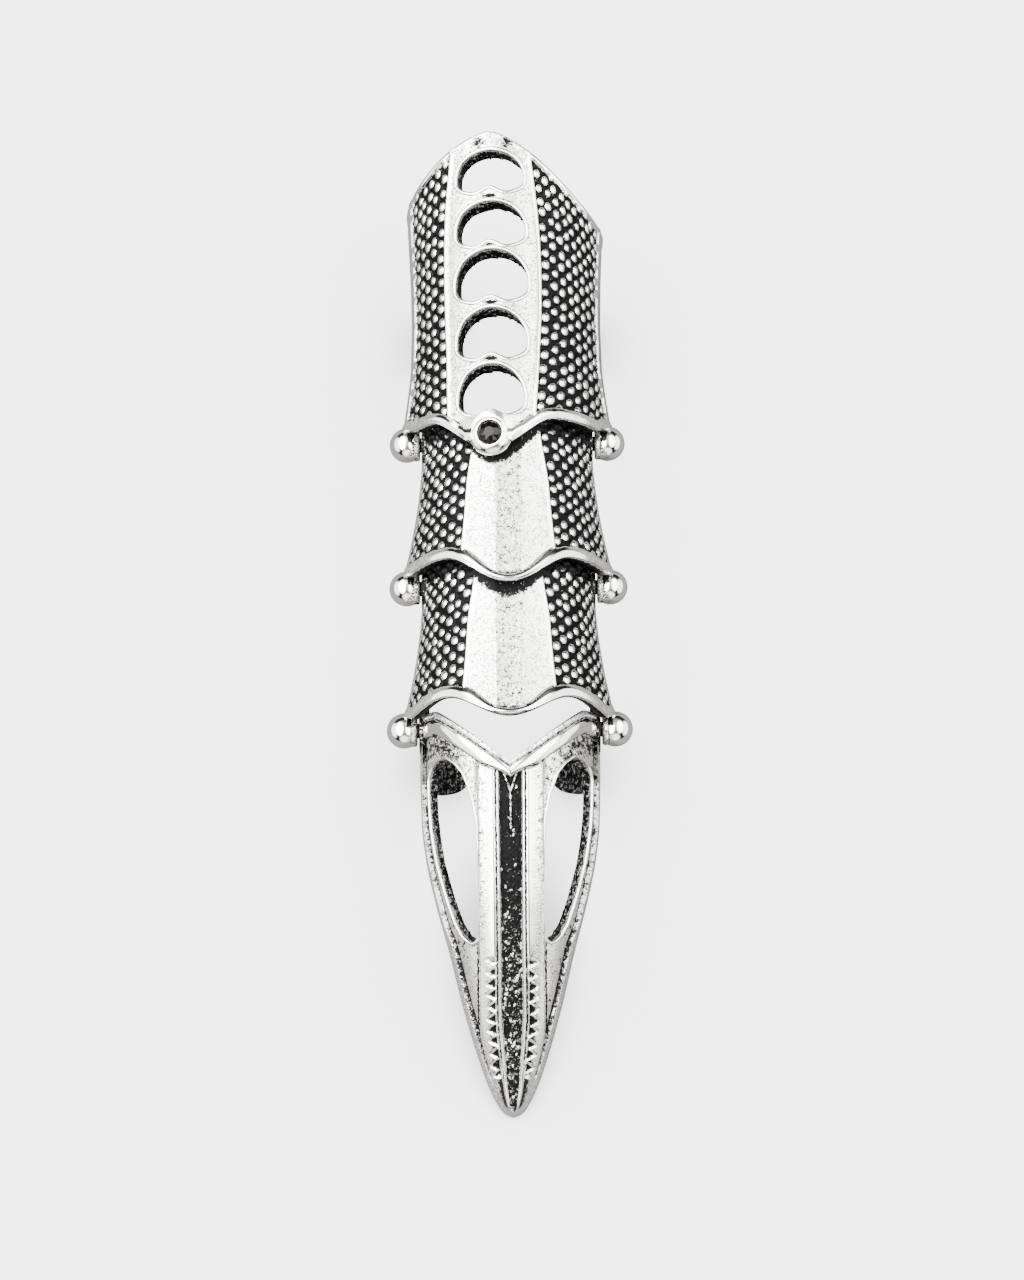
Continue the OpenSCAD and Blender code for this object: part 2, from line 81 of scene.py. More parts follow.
# share of the length from the hinge; half-width, fall of the crown, wall, inner half-width
SHIELD = np.array([[-0.10, 1.135, 0.00, 0.62, 1.115], [0.00, 1.125, 0.00, 0.62, 1.115],
                   [0.06, 1.095, 0.04, 0.66, 1.110], [0.13, 1.060, 0.10, 0.80, 1.070],
                   [0.24, 1.015, 0.24, 0.95, 1.020], [0.40, 1.000, 0.40, 1.00, 1.000],
                   [0.55, 1.010, 0.60, 1.00, 1.010], [0.75, 1.040, 0.82, 0.97, 1.030],
                   [1.00, 1.040, 1.00, 0.88, 1.040]])
SHIELD_HALF = SHIELD[1, 1] * WAIST_X    # half-width at the hinge
# share of the length; shares of the width and the height of the largest window
WINDOWS = [[0.859, 0.92, 0.80], [0.677, 0.95, 0.86], [0.497, 1.00, 1.00], [0.296, 0.96, 0.97],
           [0.102, 0.90, 0.97]]
# share of the length from the hinge; half-width, side line, crown, lower edge
CLAW = np.array([[-0.07, 0.995, 1.00, 1.00, 1.00], [0.00, 0.995, 1.00, 1.00, 1.00],
                 [0.13, 1.000, 0.98, 0.98, 0.97], [0.27, 0.985, 0.93, 0.92, 0.90],
                 [0.36, 0.930, 0.88, 0.86, 0.84], [0.46, 0.830, 0.80, 0.78, 0.74],
                 [0.58, 0.690, 0.68, 0.67, 0.59], [0.70, 0.570, 0.56, 0.54, 0.43],
                 [0.80, 0.450, 0.45, 0.41, 0.28], [0.88, 0.340, 0.35, 0.29, 0.15],
                 [0.94, 0.240, 0.26, 0.19, 0.06], [0.98, 0.140, 0.19, 0.11, 0.00],
                 [0.992, 0.090, 0.17, 0.07, 0.00], [1.00, 0.008, 0.12, 0.02, 0.01]])
# share of the window's length from its top; inner and outer edge as shares of the claw's half-width
SIDE_WINDOW = np.array([[0.00, 0.74, 0.82], [0.04, 0.64, 0.90], [0.10, 0.55, 0.93],
                        [0.22, 0.46, 0.93], [0.36, 0.41, 0.92], [0.56, 0.41, 0.91],
                        [0.76, 0.44, 0.88], [0.89, 0.48, 0.84], [0.96, 0.53, 0.77],
                        [0.99, 0.58, 0.70], [1.00, 0.63, 0.65]])
SIDE_WINDOW_TOP, SIDE_WINDOW_LEN = 4.1, 19.0
print(f"hinges at y = {BASE_Y:.2f}, {MIDDLE_Y:.2f}, {CLAW_Y:.2f} mm, height {HINGE_Z:.2f} mm")

# %% [markdown]
# ## Small tools for sheets
#
# A cast plate is a sheet of points with two parameters: how far round the finger and how far along
# it. Each sheet is computed at once as an array, which keeps its formula readable and quick.

# %% Blends and sections
def mix(a, b, t):
    """a + (b - a) t"""
    return a + (b - a) * t


def smooth(t):
    """0 below 0, 1 above 1, t^2 (3 - 2t) between."""
    t = np.clip(t, 0, 1)
    return t * t * (3 - 2 * t)


def hill(d, width):
    """exp(-(d / width)^2), a rounded line of that width where d is 0."""
    return np.exp(-((d / width) ** 2))


def column(table, n, at, soft=0.03):
    """Column n of a table read at a place between its rows, as the mean over a small stretch, which
    rounds the corners between its straight stretches but leaves its end where it is."""
    reach = soft * np.clip((table[-1, 0] - at) / 0.1, 0, 1)
    return sum(np.interp(at + reach * d, table[:, 0], table[:, n])
               for d in np.linspace(-1, 1, 7)) / 7


def arch(a, half, rise, drop):
    """Section at side angle a in degrees: x = half sin a, z = rise cos a down to the hinge line,
    then a straight skirt, x = +-half, z = -drop (|a| - 90) / 14."""
    low = np.abs(a) >= 90
    x = np.where(low, half * np.sign(a), half * np.sin(np.radians(a)))
    z = np.where(low, -drop * (np.abs(a) - 90) / (SIDE_A - 90), rise * np.cos(np.radians(a)))
    return x, z


def wave(b, edge):
    """Wavy lower edge: -point in the middle, a crest at 38 degrees, the ends from 72 degrees on."""
    t, u = np.abs(b) / 38, np.clip((np.abs(b) - 38) / 34, 0, 1)
    return np.where(t < 1, mix(-edge[0], edge[1], (1 - np.cos(np.pi * np.minimum(t, 1))) / 2),
                    mix(edge[1], edge[2], (1 - np.cos(np.pi * u)) / 2))


def ball_notch(x, dz, lug_x):
    """Room for a ball head at the end of a wavy edge: the edge climbs round the ball by
    sqrt(1.5^2 - (|x| - ball_x)^2), less where the plate stands higher than the hinge."""
    ball_x = lug_x + LUG_GAP + LUG_T + BALL_OUT
    return np.sqrt(np.maximum(0, 1.5**2 - (np.abs(x) - ball_x) ** 2)) - 0.2 * np.maximum(dz, 0)


def from_axis(p):
    """Direction to each point from the finger's axis, which falls over the last 8 mm to the tip."""
    height = 0.6 * HINGE_Z * np.clip((p[..., 1] - TIP_Y) / 8, 0.1, 1)
    return p - np.stack([0 * p[..., 0], p[..., 1], height], -1)


def normals(p):
    """Unit normals of a sheet, the cross product of its two differences, away from the axis."""
    n = np.cross(np.gradient(p, axis=0), np.gradient(p, axis=1))
    n /= np.linalg.norm(n, axis=-1, keepdims=True) + 1e-9
    return n * np.sign((n * from_axis(p)).sum(-1, keepdims=True) + 1e-9)


def run(p, axis):
    """Distance along the sheet from its first row or column."""
    step = np.linalg.norm(np.diff(p, axis=axis), axis=-1)
    pad = [(0, 0), (0, 0)]
    pad[axis] = (1, 0)
    return np.cumsum(np.pad(step, pad), axis=axis)


def square_to(p, row, next_row):
    """Sine of the angle between an edge and the columns that meet it: turns a distance along the
    columns into a distance from the edge."""
    along = np.gradient(p[row], axis=0)
    down = p[next_row] - p[row]
    s = np.linalg.norm(np.cross(along, down), axis=-1)
    return s / (np.linalg.norm(along, axis=-1) * np.linalg.norm(down, axis=-1) + 1e-9)


def inside(x, y, outline):
    """Which points lie inside a closed outline: a line to the right crosses it an odd number of
    times."""
    odd = np.zeros(x.shape, bool)
    for (x0, y0), (x1, y1) in zip(outline, np.roll(outline, -1, axis=0)):
        if y0 != y1:
            odd ^= ((y0 > y) != (y1 > y)) & (x < x0 + (x1 - x0) * (y - y0) / (y1 - y0))
    return odd


def all_faces(p):
    """True for every face of a sheet."""
    return np.ones((p.shape[0] - 1, p.shape[1] - 1), bool)


def face_middles(p):
    """Middle of every face of a sheet, the mean of its four corners."""
    return (p[:-1, :-1] + p[1:, :-1] + p[:-1, 1:] + p[1:, 1:]) / 4


# %% [markdown]
# ## Castings
#
# A casting gathers its sheets in one mesh. Every point also carries two numbers that the metal
# reads: how black it is and how satin it is. Oxide sits in the recesses and polish on the high
# places, so both come from the same formulas as the relief. The black also carries painted shade,
# under the edges of plates and where surfaces turn away from the light.

# %% Casting
def mesh_object(name, points, faces, material):
    """An object with a mesh of these faces, whose points are given in millimetres."""
    mesh = bpy.data.meshes.new(name)
    mesh.from_pydata((np.asarray(points) / 1000).tolist(), [], faces)
    mesh.materials.append(material)
    made = bpy.data.objects.new(name, mesh)
    bpy.context.scene.collection.objects.link(made)
    return made


def stand_for(made, body, node_names):
    """The object rides on a body in place of its CAD nodes."""
    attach(made, body)
    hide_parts(*node_names)


class Casting:
    """The sheets of one casting, and how black and how satin each of their points is."""

    def __init__(self):
        self.points, self.faces, self.dark, self.satin, self.count = [], [], [], [], 0

    def sheet(self, p, toward, dark=0.0, satin=0.0, keep=None, closed=False):
        """Adds a grid of points as four-sided faces that look the way of toward. A closed sheet
        joins its last column to its first one; keep leaves out the faces where it is False."""
        rows, cols = p.shape[:2]
        i, j = np.indices((rows - 1, cols if closed else cols - 1))
        k = (j + 1) % cols
        q = np.stack([i * cols + j, i * cols + k, (i + 1) * cols + k, (i + 1) * cols + j], -1)
        flat = p.reshape(-1, 3)
        n = np.cross(flat[q[..., 2]] - flat[q[..., 0]], flat[q[..., 3]] - flat[q[..., 1]])
        way = np.broadcast_to(toward, p.shape).reshape(-1, 3)[q[..., 0]]
        if (n * way).sum() < 0:
            q = q[..., ::-1]
        q = q[keep] if keep is not None else q.reshape(-1, 4)
        used, again = np.unique(q, return_inverse=True)
        self.points.append(flat[used])
        self.faces.append(again.reshape(-1, 4) + self.count)
        self.dark.append(np.broadcast_to(dark, p.shape[:2]).reshape(-1)[used])
        self.satin.append(np.broadcast_to(satin, p.shape[:2]).reshape(-1)[used])
        self.count += len(used)

    def edge(self, a, b, toward, bulge, bright=0.12, satin=0.3):
        """Rounded edge between two border curves: p(w) = mix(a, b, w) + bulge sin(180 w) toward.
        Its first share is polished; the rest is black, oxide and painted shade on the hidden
        thickness."""
        w = np.linspace(0, 1, 8)[:, None, None]
        p = mix(a, b, w) + bulge * np.sin(np.pi * w) * np.asarray(toward)
        # the black share stands for oxide and for the painted shade under the rim
        dark = 0.95 * smooth((w[..., 0] - bright) / 0.2)
        self.sheet(p, toward, np.broadcast_to(dark, p.shape[:2]), satin)

    def trim(self, curve, normal, ends, flange, dark=0.85, lip=1.0):
        """Lip and wall of a window. The profile runs over a rounded lip, h against the distance
        out from the outline, then down the wall to its inner end, and out again under the inner
        sheet."""
        tangent = np.roll(curve, -1, axis=0) - np.roll(curve, 1, axis=0)
        out = np.cross(tangent, normal)
        out /= np.linalg.norm(out, axis=-1, keepdims=True)
        out *= np.sign((out * (curve - curve.mean(0))).sum())
        profile = [(0.44, -0.12), (0.40, 0.0), (0.33, 0.07), (0.23, 0.11), (0.12, 0.10),
                   (0.03, 0.04), (-0.02, -0.08)]
        rings = [curve + lip * o * out + h * normal for o, h in profile]
        top = rings[-1]
        rings += [mix(top, ends, f) for f in (0.12, 0.35, 0.65, 0.97)] + [ends, ends + flange * out]
        shade = [0.35, 0.1, 0, 0, 0, 0, 0.25, 0.7 * dark, dark, dark, dark, dark, dark]
        p = np.array(rings)
        # The lip decides which way the faces look, so the wall's share in that is made small
        n = np.broadcast_to(normal, p.shape).copy()
        n[len(profile):] *= 0.01
        self.sheet(p, n, np.array(shade)[:, None], np.array([0.2] * 7 + [0.8] * 6)[:, None],
                   closed=True)

    def turned(self, centre, axis, profile, dark=0.0, satin=0.0, steps=40):
        """Turned part about an axis: profile is a list of (distance along the axis, radius)."""
        axis = np.asarray(axis, float) / np.linalg.norm(axis)
        side = np.cross([0, 0, 1.0], axis)
        side /= np.linalg.norm(side)
        up = np.cross(axis, side)
        a = np.linspace(0, 2 * np.pi, steps, endpoint=False)[None, :, None]
        h, r = np.array(profile, float).T[..., None, None]
        ring = np.cos(a) * side + np.sin(a) * up
        p = np.asarray(centre, float) + h * axis + r * ring
        middle = np.asarray(centre, float) + (h.min() + h.max()) / 2 * axis
        self.sheet(p, p - middle, dark, satin, closed=True)

    def piece(self, name, body, node_names, material):
        """The casting as one Blender object that rides on a body in place of its CAD nodes."""
        faces = np.concatenate(self.faces)
        made = mesh_object(name, np.concatenate(self.points), faces.tolist(), material)
        made.data.polygons.foreach_set("use_smooth", np.ones(len(faces), bool))
        for key, values in (("dark", self.dark), ("satin", self.satin)):
            layer = made.data.attributes.new(key, "FLOAT", "POINT")
            layer.data.foreach_set("value", np.concatenate(values).astype(np.float32))
        stand_for(made, body, node_names)
        print(f"{name}: {2 * len(faces)} triangles")


# %% [markdown]
# ## The metal
#
# The real finish is a silver-tone plating, blackened and then polished by hand. One node tree does
# all of it: the silver colour and the oxide colour are mixed by the point's own darkness, broken
# up by a grain of about a sixth of a millimetre, and the satin surfaces get the fine pits of a
# sandblasted mould. The silver is a metal, so its colour is its reflection; the oxide is a dull
# black crust.

# %% Material tools
def linear(code):
    """'#rrggbb' as linear colour: c / 12.92 below 0.04045, ((c + 0.055) / 1.055)^2.4 above."""
    c = np.array([int(code[k:k + 2], 16) / 255 for k in (1, 3, 5)])
    return (*np.where(c <= 0.04045, c / 12.92, ((c + 0.055) / 1.055) ** 2.4), 1.0)


def grain(size_mm):
    """Texture scale of a pattern of that size, for coordinates in metres."""
    return 1000 / size_mm


def add(tree, kind, inputs=None, out=0, **settings):
    """Adds a node, sets its settings, sets or links its inputs, and returns one of its outputs."""
    node = tree.nodes.new("ShaderNode" + kind)
    for key, value in settings.items():
        setattr(node, key, value)
    for key, value in (inputs or {}).items():
        if isinstance(value, bpy.types.NodeSocket):
            tree.links.new(value, node.inputs[key])
        else:
            node.inputs[key].default_value = value
    return node.outputs[out] if len(node.outputs) else None


def new_material(name):
    """A material and its tree, cleared."""
    material = bpy.data.materials.new(name)
    material.use_nodes = True
    material.node_tree.nodes.clear()
    return material, material.node_tree


# %% Antiqued, polished, stone
SILVER = linear("#e6e4e0")
OXIDE = linear("#030303")
SOFT = {"interpolation_type": "SMOOTHSTEP"}    # for a range that is mapped by a smooth step


def antiqued_metal(name, polish):
    """Silver-tone plating, blackened and polished back: oxide where the point is dark, and in the
    pits of the satin places. A point's darkness stands for oxide and for painted shade alike. Oxide
    is rough, dull and no metal."""
    material, tree = new_material(name)
    place = add(tree, "TexCoord", out="Object")
    dark = add(tree, "Attribute", out="Fac", attribute_name="dark")
    satin = add(tree, "Attribute", out="Fac", attribute_name="satin")
    speck = add(tree, "TexNoise", {"Vector": place, "Scale": grain(0.17), "Detail": 2.0})
    patch = add(tree, "TexNoise", {"Vector": place, "Scale": grain(0.45), "Detail": 3.0})
    wear = add(tree, "Math", {0: speck, 1: patch}, operation="ADD")
    wear = add(tree, "Math", {0: wear, 1: 1.1, 2: -1.1}, operation="MULTIPLY_ADD")
    worn_dark = add(tree, "Math", {0: dark, 1: wear}, operation="ADD")
    oxide = add(tree, "MapRange", {0: worn_dark, 1: 0.25, 2: 0.7}, **SOFT)
    pits = add(tree, "Math", {0: speck, 1: wear}, operation="ADD")
    pits = add(tree, "MapRange", {0: pits, 1: 0.53, 2: 0.74, 3: 0.08, 4: 0.9}, **SOFT)
    pits = add(tree, "Math", {0: pits, 1: satin}, operation="MULTIPLY")
    black = add(tree, "Math", {0: oxide, 1: pits}, operation="MAXIMUM")
    colour = add(tree, "Mix", {0: black, 6: SILVER, 7: OXIDE}, 2, data_type="RGBA")
    rough = add(tree, "Math", {0: satin, 1: 0.11, 2: polish}, operation="MULTIPLY_ADD")
    rough = add(tree, "Math", {0: black, 1: 0.3, 2: rough}, operation="MULTIPLY_ADD")
    height = add(tree, "Math", {0: satin, 1: 0.04}, operation="ADD")
    height = add(tree, "Math", {0: height, 1: speck}, operation="MULTIPLY")
    surface = add(tree, "BsdfPrincipled", {
        "Base Color": colour, "Roughness": rough,
        "Metallic": add(tree, "MapRange", {0: black, 3: 1.0, 4: 0.0}, **SOFT),
        "Specular IOR Level": add(tree, "MapRange", {0: black, 3: 0.5, 4: 0.06}, **SOFT),
        "Normal": add(tree, "Bump", {"Height": height, "Strength": 0.8, "Distance": 0.00006})})
    add(tree, "OutputMaterial", {"Surface": surface})
    return material


def cut_glass():
    """Smoky black cut glass, polished: so dark that its facets show only what they reflect."""
    material, tree = new_material("smoky_cut_stone")
    surface = add(tree, "BsdfPrincipled", {"Base Color": linear("#060403"), "Roughness": 0.06,
                                           "Specular IOR Level": 0.15})
    add(tree, "OutputMaterial", {"Surface": surface})
    return material


CAST = antiqued_metal("antiqued_silver_tone", 0.09)
POLISHED = antiqued_metal("polished_silver_tone", 0.1)
STONE = cut_glass()
print("materials:", CAST.name, POLISHED.name, STONE.name)

# %% [markdown]
# ## Beads
#
# The fields are covered with round cast beads in staggered columns, about 1.1 mm across, 1.06 to
# 1.2 mm apart round the finger and 1.45 mm along it. A pattern maker sets them by hand, so no two
# are quite alike: each centre and radius is a little off.

# %% Bead field
def chance(k, j, seed):
    """A number from 0 to 1 for each pair of whole numbers, the same at every run: what stands
    behind the point of 43758.5453 sin(12.9898 k + 78.233 j + 3.7 seed)."""
    return np.modf(np.abs(np.sin(k * 12.9898 + j * 78.233 + seed * 3.7) * 43758.5453))[0]


def beads(u, v, seed, pitch_u=1.06, pitch_v=1.45, radius=0.54):
    """Height 0..1 of staggered beads at distance u from the band and v along it: the highest of
    sqrt(1 - (d / r)^2) over the bead of this column and those of the columns beside it."""
    height = np.zeros(u.shape)
    for beside in (-1, 0, 1):
        k = np.floor(u / pitch_u) + beside
        shift = np.where(k % 2 == 0, 0.0, 0.5)
        j = np.round(v / pitch_v - shift)
        cu = (k + 0.5 + 0.28 * (chance(k, j, seed) - 0.5)) * pitch_u
        cv = (j + shift + 0.26 * (chance(k, j, seed + 1) - 0.5)) * pitch_v
        r = radius * (1 + 0.22 * (chance(k, j, seed + 2) - 0.5))
        off = ((u - cu) ** 2 + (v - cv) ** 2) / r**2
        height = np.maximum(height, np.sqrt(np.clip(1 - off, 0, 1)))
    return height


def bead_dark(h):
    """Black ground, bright bead tops: 1 up to half a bead's height, 0 from four fifths on."""
    return 1 - smooth((h - 0.50) / 0.32)


def stops(*marks):
    """One list of places from marks (place, steps to the next place)."""
    parts = [np.linspace(a[0], b[0], a[1], endpoint=False) for a, b in zip(marks, marks[1:])]
    return np.concatenate(parts + [[marks[-1][0]]])


def spread(marks, steps):
    """The same for every row of a sheet: each mark holds one place for each row."""
    parts = [a[:, None] + (b - a)[:, None] * np.arange(n) / n
             for a, b, n in zip(marks, marks[1:], steps)]
    return np.concatenate(parts + [marks[-1][:, None]], axis=1)


# %% [markdown]
# ## Shield plate
#
# The shield is a tall arched plate whose crown is turned a few degrees on its lugs. Its columns
# follow the edges of the pierced spine, so that the spine's bright borders are clean lines of the
# mesh.

# %% Shield sheets
def rolled(b):
    """Side angle of column b: b - 9 (1 - (|b| / 104)^4), not turned at the lugs."""
    return b - CROWN_ROLL * (1 - np.minimum(1, np.abs(b) / SIDE_A) ** 4)


CROWN_A = math.radians(rolled(0.0))


def spine_a(t):
    """Half-angle of the spine, 24 + 7 sin(180 t) degrees."""
    return 24 + 7 * np.sin(np.pi * t)


def shield_y(b, t):
    """Blend from the wavy lower edge to the pointed rear, y = apex - 7.7 |sin b|^1.5, with
    17% added to the drop on the right and taken off it on the left."""
    s = np.where(np.abs(b) < 90, np.abs(np.sin(np.radians(b))) ** 1.5, 1)
    rear = APEX_Y - 7.7 * s * (1 + 0.17 * np.sign(b))
    x, dz = arch(rolled(b), SHIELD_HALF, RIM_RISE, SKIRT)
    low = np.maximum(wave(b, SHIELD_EDGE), ball_notch(x, dz, UPPER_LUG))
    return mix(BASE_Y + low, rear, t)


def shield_section(y, inner):
    """Half-width and rise of the shield's outer or inner section at y."""
    share = (y - BASE_Y) / SHIELD_LEN
    half = WAIST_X * column(SHIELD, 1, share)
    rise = RIM_RISE - CROWN_FALL * column(SHIELD, 2, share)
    if inner:
        half = FINGER_R * column(SHIELD, 4, share)
        half = mix(UPPER_LUG + LUG_GAP + 0.3, half, smooth(share / 0.24))
        rise = rise - SPINE_T * column(SHIELD, 3, share)
    return half, rise


def shield_sheet(b, t, inner=False):
    """Point at column b and share t: (half sin a, y, hinge + rise cos a) with a = rolled(b)."""
    y = shield_y(b, t)
    half, rise = shield_section(y, inner)
    x, z = arch(rolled(b), half, rise, SKIRT)
    return np.stack([x, y, HINGE_Z + z], -1)


def columns(band, left, right, fine, band_steps, skirt_steps=20):
    """Side angles of a sheet, one row for each band half-angle: skirts, fields and band."""
    field_l, field_r = int(fine * (left - band.min())), int(fine * (right - band.min()))
    marks = [0 * band - SIDE_A, 0 * band - left, -band, band, 0 * band + right, 0 * band + SIDE_A]
    steps = skirt_steps, field_l, band_steps, field_r, skirt_steps
    return spread(marks, steps), (skirt_steps + field_l, skirt_steps + field_l + band_steps)


def b_of_a(a):
    """Column whose side angle is a, read backwards from rolled."""
    b = np.linspace(-SIDE_A, SIDE_A, 999)
    return np.interp(a, rolled(b), b)


rows = stops((0, 10), (1.05 / 32, 250), (1 - 0.55 / 32, 6), (1, 0))
B, (jl, jr) = columns(spine_a(rows), -b_of_a(-FIELD_A), b_of_a(FIELD_A), 1.5, 62)
T = np.broadcast_to(rows[:, None], B.shape)
base = shield_sheet(B, T)
across, along = run(base, 1), run(base, 0)
outside = np.maximum(across - across[:, jr:jr + 1], across[:, jl:jl + 1] - across)
from_low = along * square_to(base, 0, 1)
from_rear = (along[-1:] - along) * square_to(base, -1, -2)
from_side = (FIELD_A - np.abs(rolled(B))) * 0.18    # millimetres for each degree
print("shield sheet:", base.shape, "rows and columns")

# %% [markdown]
# The relief of the shield: a beaded field on each side, deeper than all round it, a polished rim
# along the wavy edge, a thin one along the sides and the rear, and two bright borders along the
# spine.

# %% Shield relief
bx, by = base[..., 0], base[..., 1]
field = (smooth((from_low - RIM_W) / 0.12) * smooth((from_rear - 0.5) / 0.12)
         * smooth(from_side / 0.12) * smooth(outside / 0.12))
h = beads(outside - 0.05, by - BASE_Y, 1, 1.2, 1.44, 0.57)
lift = field * BEAD_H * (h - 1) + 0.14 * smooth(1 - np.abs(from_low - 0.5) / 0.6)
lift += 0.10 * smooth(1 - np.abs(from_rear - 0.25) / 0.3)
lift += 0.10 * smooth(1 - np.abs(from_side + 0.2) / 0.45)
band_in = -outside
lift += 0.13 * hill(band_in - 0.22, 0.2) * smooth((from_low - 0.9) / 0.3)
lift -= 0.06 * smooth((band_in - 0.35) / 0.2) * smooth((from_low - RIM_W) / 0.2)
dark = field * bead_dark(h)
satin = 0.9 * smooth((band_in - 0.4) / 0.15) * smooth((from_low - RIM_W) / 0.15)
satin = np.maximum(satin, 0.03)
# Two rough black patches beside the bright point of the rear edge
for side in (-1, 1):
    pit = hill(bx - (-1.35 + side * 1.6), 1.1) * hill(by - (APEX_Y - 1.2), 1.0)
    lift -= 0.12 * pit
    dark = np.maximum(dark, 0.72 * pit)
    satin = np.maximum(satin, pit)
# A groove behind the rim of the wavy edge stays black
behind_rim = hill(from_low - 1.1, 0.16) * smooth(np.abs(outside) / 0.5)
dark = np.maximum(dark, 0.7 * behind_rim * (np.abs(B) < 85))
# The rim is worn on its shoulders
worn = smooth((1.1 - from_low) / 0.2) * smooth((np.abs(B) - 25) / 30)
dark, satin = np.maximum(dark, 0.25 * worn), np.maximum(satin, 0.3 * worn)
# The sides below the polished rim were never reached by the buffing wheel
under = smooth((np.abs(rolled(B)) - 88) / 8) * smooth((from_low - 1.2) / 0.5)
dark, satin = np.maximum(dark, 0.4 * under), np.maximum(satin, 0.6 * under)
# A black crease in the middle of each bridge between two windows
for place, _, h_share in WINDOWS[1:]:
    crease_y = BASE_Y + place * SHIELD_LEN + 0.5 * WINDOW_H * h_share + 0.62
    half, _ = shield_section(crease_y, False)
    crease = hill(bx - half * math.sin(CROWN_A), 0.75) * hill(by - crease_y, 0.2)
    lift, dark = lift - 0.15 * crease, np.maximum(dark, 1.6 * crease)
# A boss under the collet of the stone, run smoothly into the rim
to_stone = np.hypot(bx - SHIELD_HALF * math.sin(CROWN_A), by - BASE_Y + SHIELD_EDGE[0] / 2)
boss = smooth((3.7 - to_stone) / 2.1)
lift += 0.45 * boss * smooth((to_stone - 1.4) / 0.3) - 0.3 * smooth((1.5 - to_stone) / 0.2)
dark, satin = dark * (1 - boss), np.maximum(satin * (1 - boss), 0.03)
base_n = normals(base)
surface = base + lift[..., None] * base_n

# %% [markdown]
# The five windows are cut straight through the spine, square to its crown. On the sheet their
# faces are left out, and a cast lip with its wall covers the cut. The walls lean in a little at
# the top, as the mould needs, and are black inside.

# %% Spine windows
def crown_frame(y):
    """Point of the crown at y, the direction across and the normal there."""
    half, rise = shield_section(y, False)
    lean = math.atan(rise / half * math.tan(CROWN_A))
    return (np.array([half * math.sin(CROWN_A), y, HINGE_Z + rise * math.cos(CROWN_A)]),
            np.array([math.cos(lean), 0, -math.sin(lean)]),
            np.array([math.sin(lean), 0, math.cos(lean)]))


def drop_on(x, y, inner, origin, e, n):
    """Points of the shield's section under the places x, y, looking down the crown's normal."""
    a = np.radians(np.linspace(-88, 88, 500))
    made = []
    for xx, yy in zip(x, y):
        half, rise = shield_section(origin[1] + yy, inner)
        p = np.stack([half * np.sin(a), 0 * a, HINGE_Z + rise * np.cos(a)], -1)
        q = p - origin * [1, 0, 1]
        made.append(origin + xx * e + np.interp(xx, q @ e, q @ n) * n + [0, yy, 0])
    return np.array(made)


def window_outline(w, h, n=96):
    """x = w/2 cos a; y + 0.14 h = 0.64 h sin a above, and bump - 0.36 h (-sin a)^0.6 below."""
    a = np.linspace(0, 2 * np.pi, n, endpoint=False)
    x = w / 2 * np.cos(a)
    s = np.sin(a)
    bump = BUMP_H * smooth(1 - np.abs(x) / (0.26 * w))
    low = -0.14 * h - 0.36 * h * np.maximum(-s, 0) ** 0.6 + bump
    return x, np.where(s >= 0, 0.64 * h * s - 0.14 * h, low)


shield = Casting()
inner_rows = np.linspace(0, 1, 116)
BI, _ = columns(spine_a(inner_rows), 84, 84, 0.55, 44, 8)
inner = shield_sheet(BI, np.broadcast_to(inner_rows[:, None], BI.shape), inner=True)
keep_outer, keep_inner = all_faces(base), all_faces(inner)
mid_row = 150          # the lips take their normals from this row, in the middle of the sheet
under_lip = 1.0625     # the outer sheet is cut this much larger than the outline
for place, w_share, h_share in WINDOWS:
    origin, e, n = crown_frame(BASE_Y + place * SHIELD_LEN)
    x, y = window_outline(WINDOW_W * w_share, WINDOW_H * h_share)
    curve = drop_on(x, y, False, origin, e, n)
    lean_x, lean_y = x * 0.95 + 0.12, np.where(y > 0, y * 0.84, y)
    ends = drop_on(lean_x, lean_y, True, origin, e, n) - 0.05 * n
    sheet_n = np.stack([np.interp(curve[:, 0], base[mid_row, :, 0], base_n[mid_row, :, k])
                        for k in range(3)], -1)
    shield.trim(curve, sheet_n, ends, 0.45)
    for sheet, keep, grown, outline in ((base, keep_outer, under_lip, (x, y)),
                                        (inner, keep_inner, 1, (lean_x, lean_y))):
        local = (face_middles(sheet) - origin) / grown
        keep &= ~inside(local @ e, local[..., 1], np.stack(outline, -1))
print("windows:", len(WINDOWS), "- faces left out:", int((~keep_outer).sum()))

# %% [markdown]
# Edges, finger band and lugs. Every open border of the two sheets is joined by a rounded edge, so
# the plate reads as one thickness of metal.

# %% Shield assembly
shield.sheet(surface, from_axis(base), dark, satin, keep_outer)
shield.sheet(inner, -from_axis(inner), *INSIDE, keep_inner)
FIRST_COLUMN, LAST_COLUMN = np.s_[:, 0], np.s_[:, -1]
for at, toward, bulge in ((0, [0, -1, 0], 0.16), (-1, [0, 1, 0], 0.14),
                          (FIRST_COLUMN, [0, 0, -1], 0.15), (LAST_COLUMN, [0, 0, -1], 0.15)):
    shield.edge(surface[at], shield_sheet(B[at], T[at], True), toward, bulge)


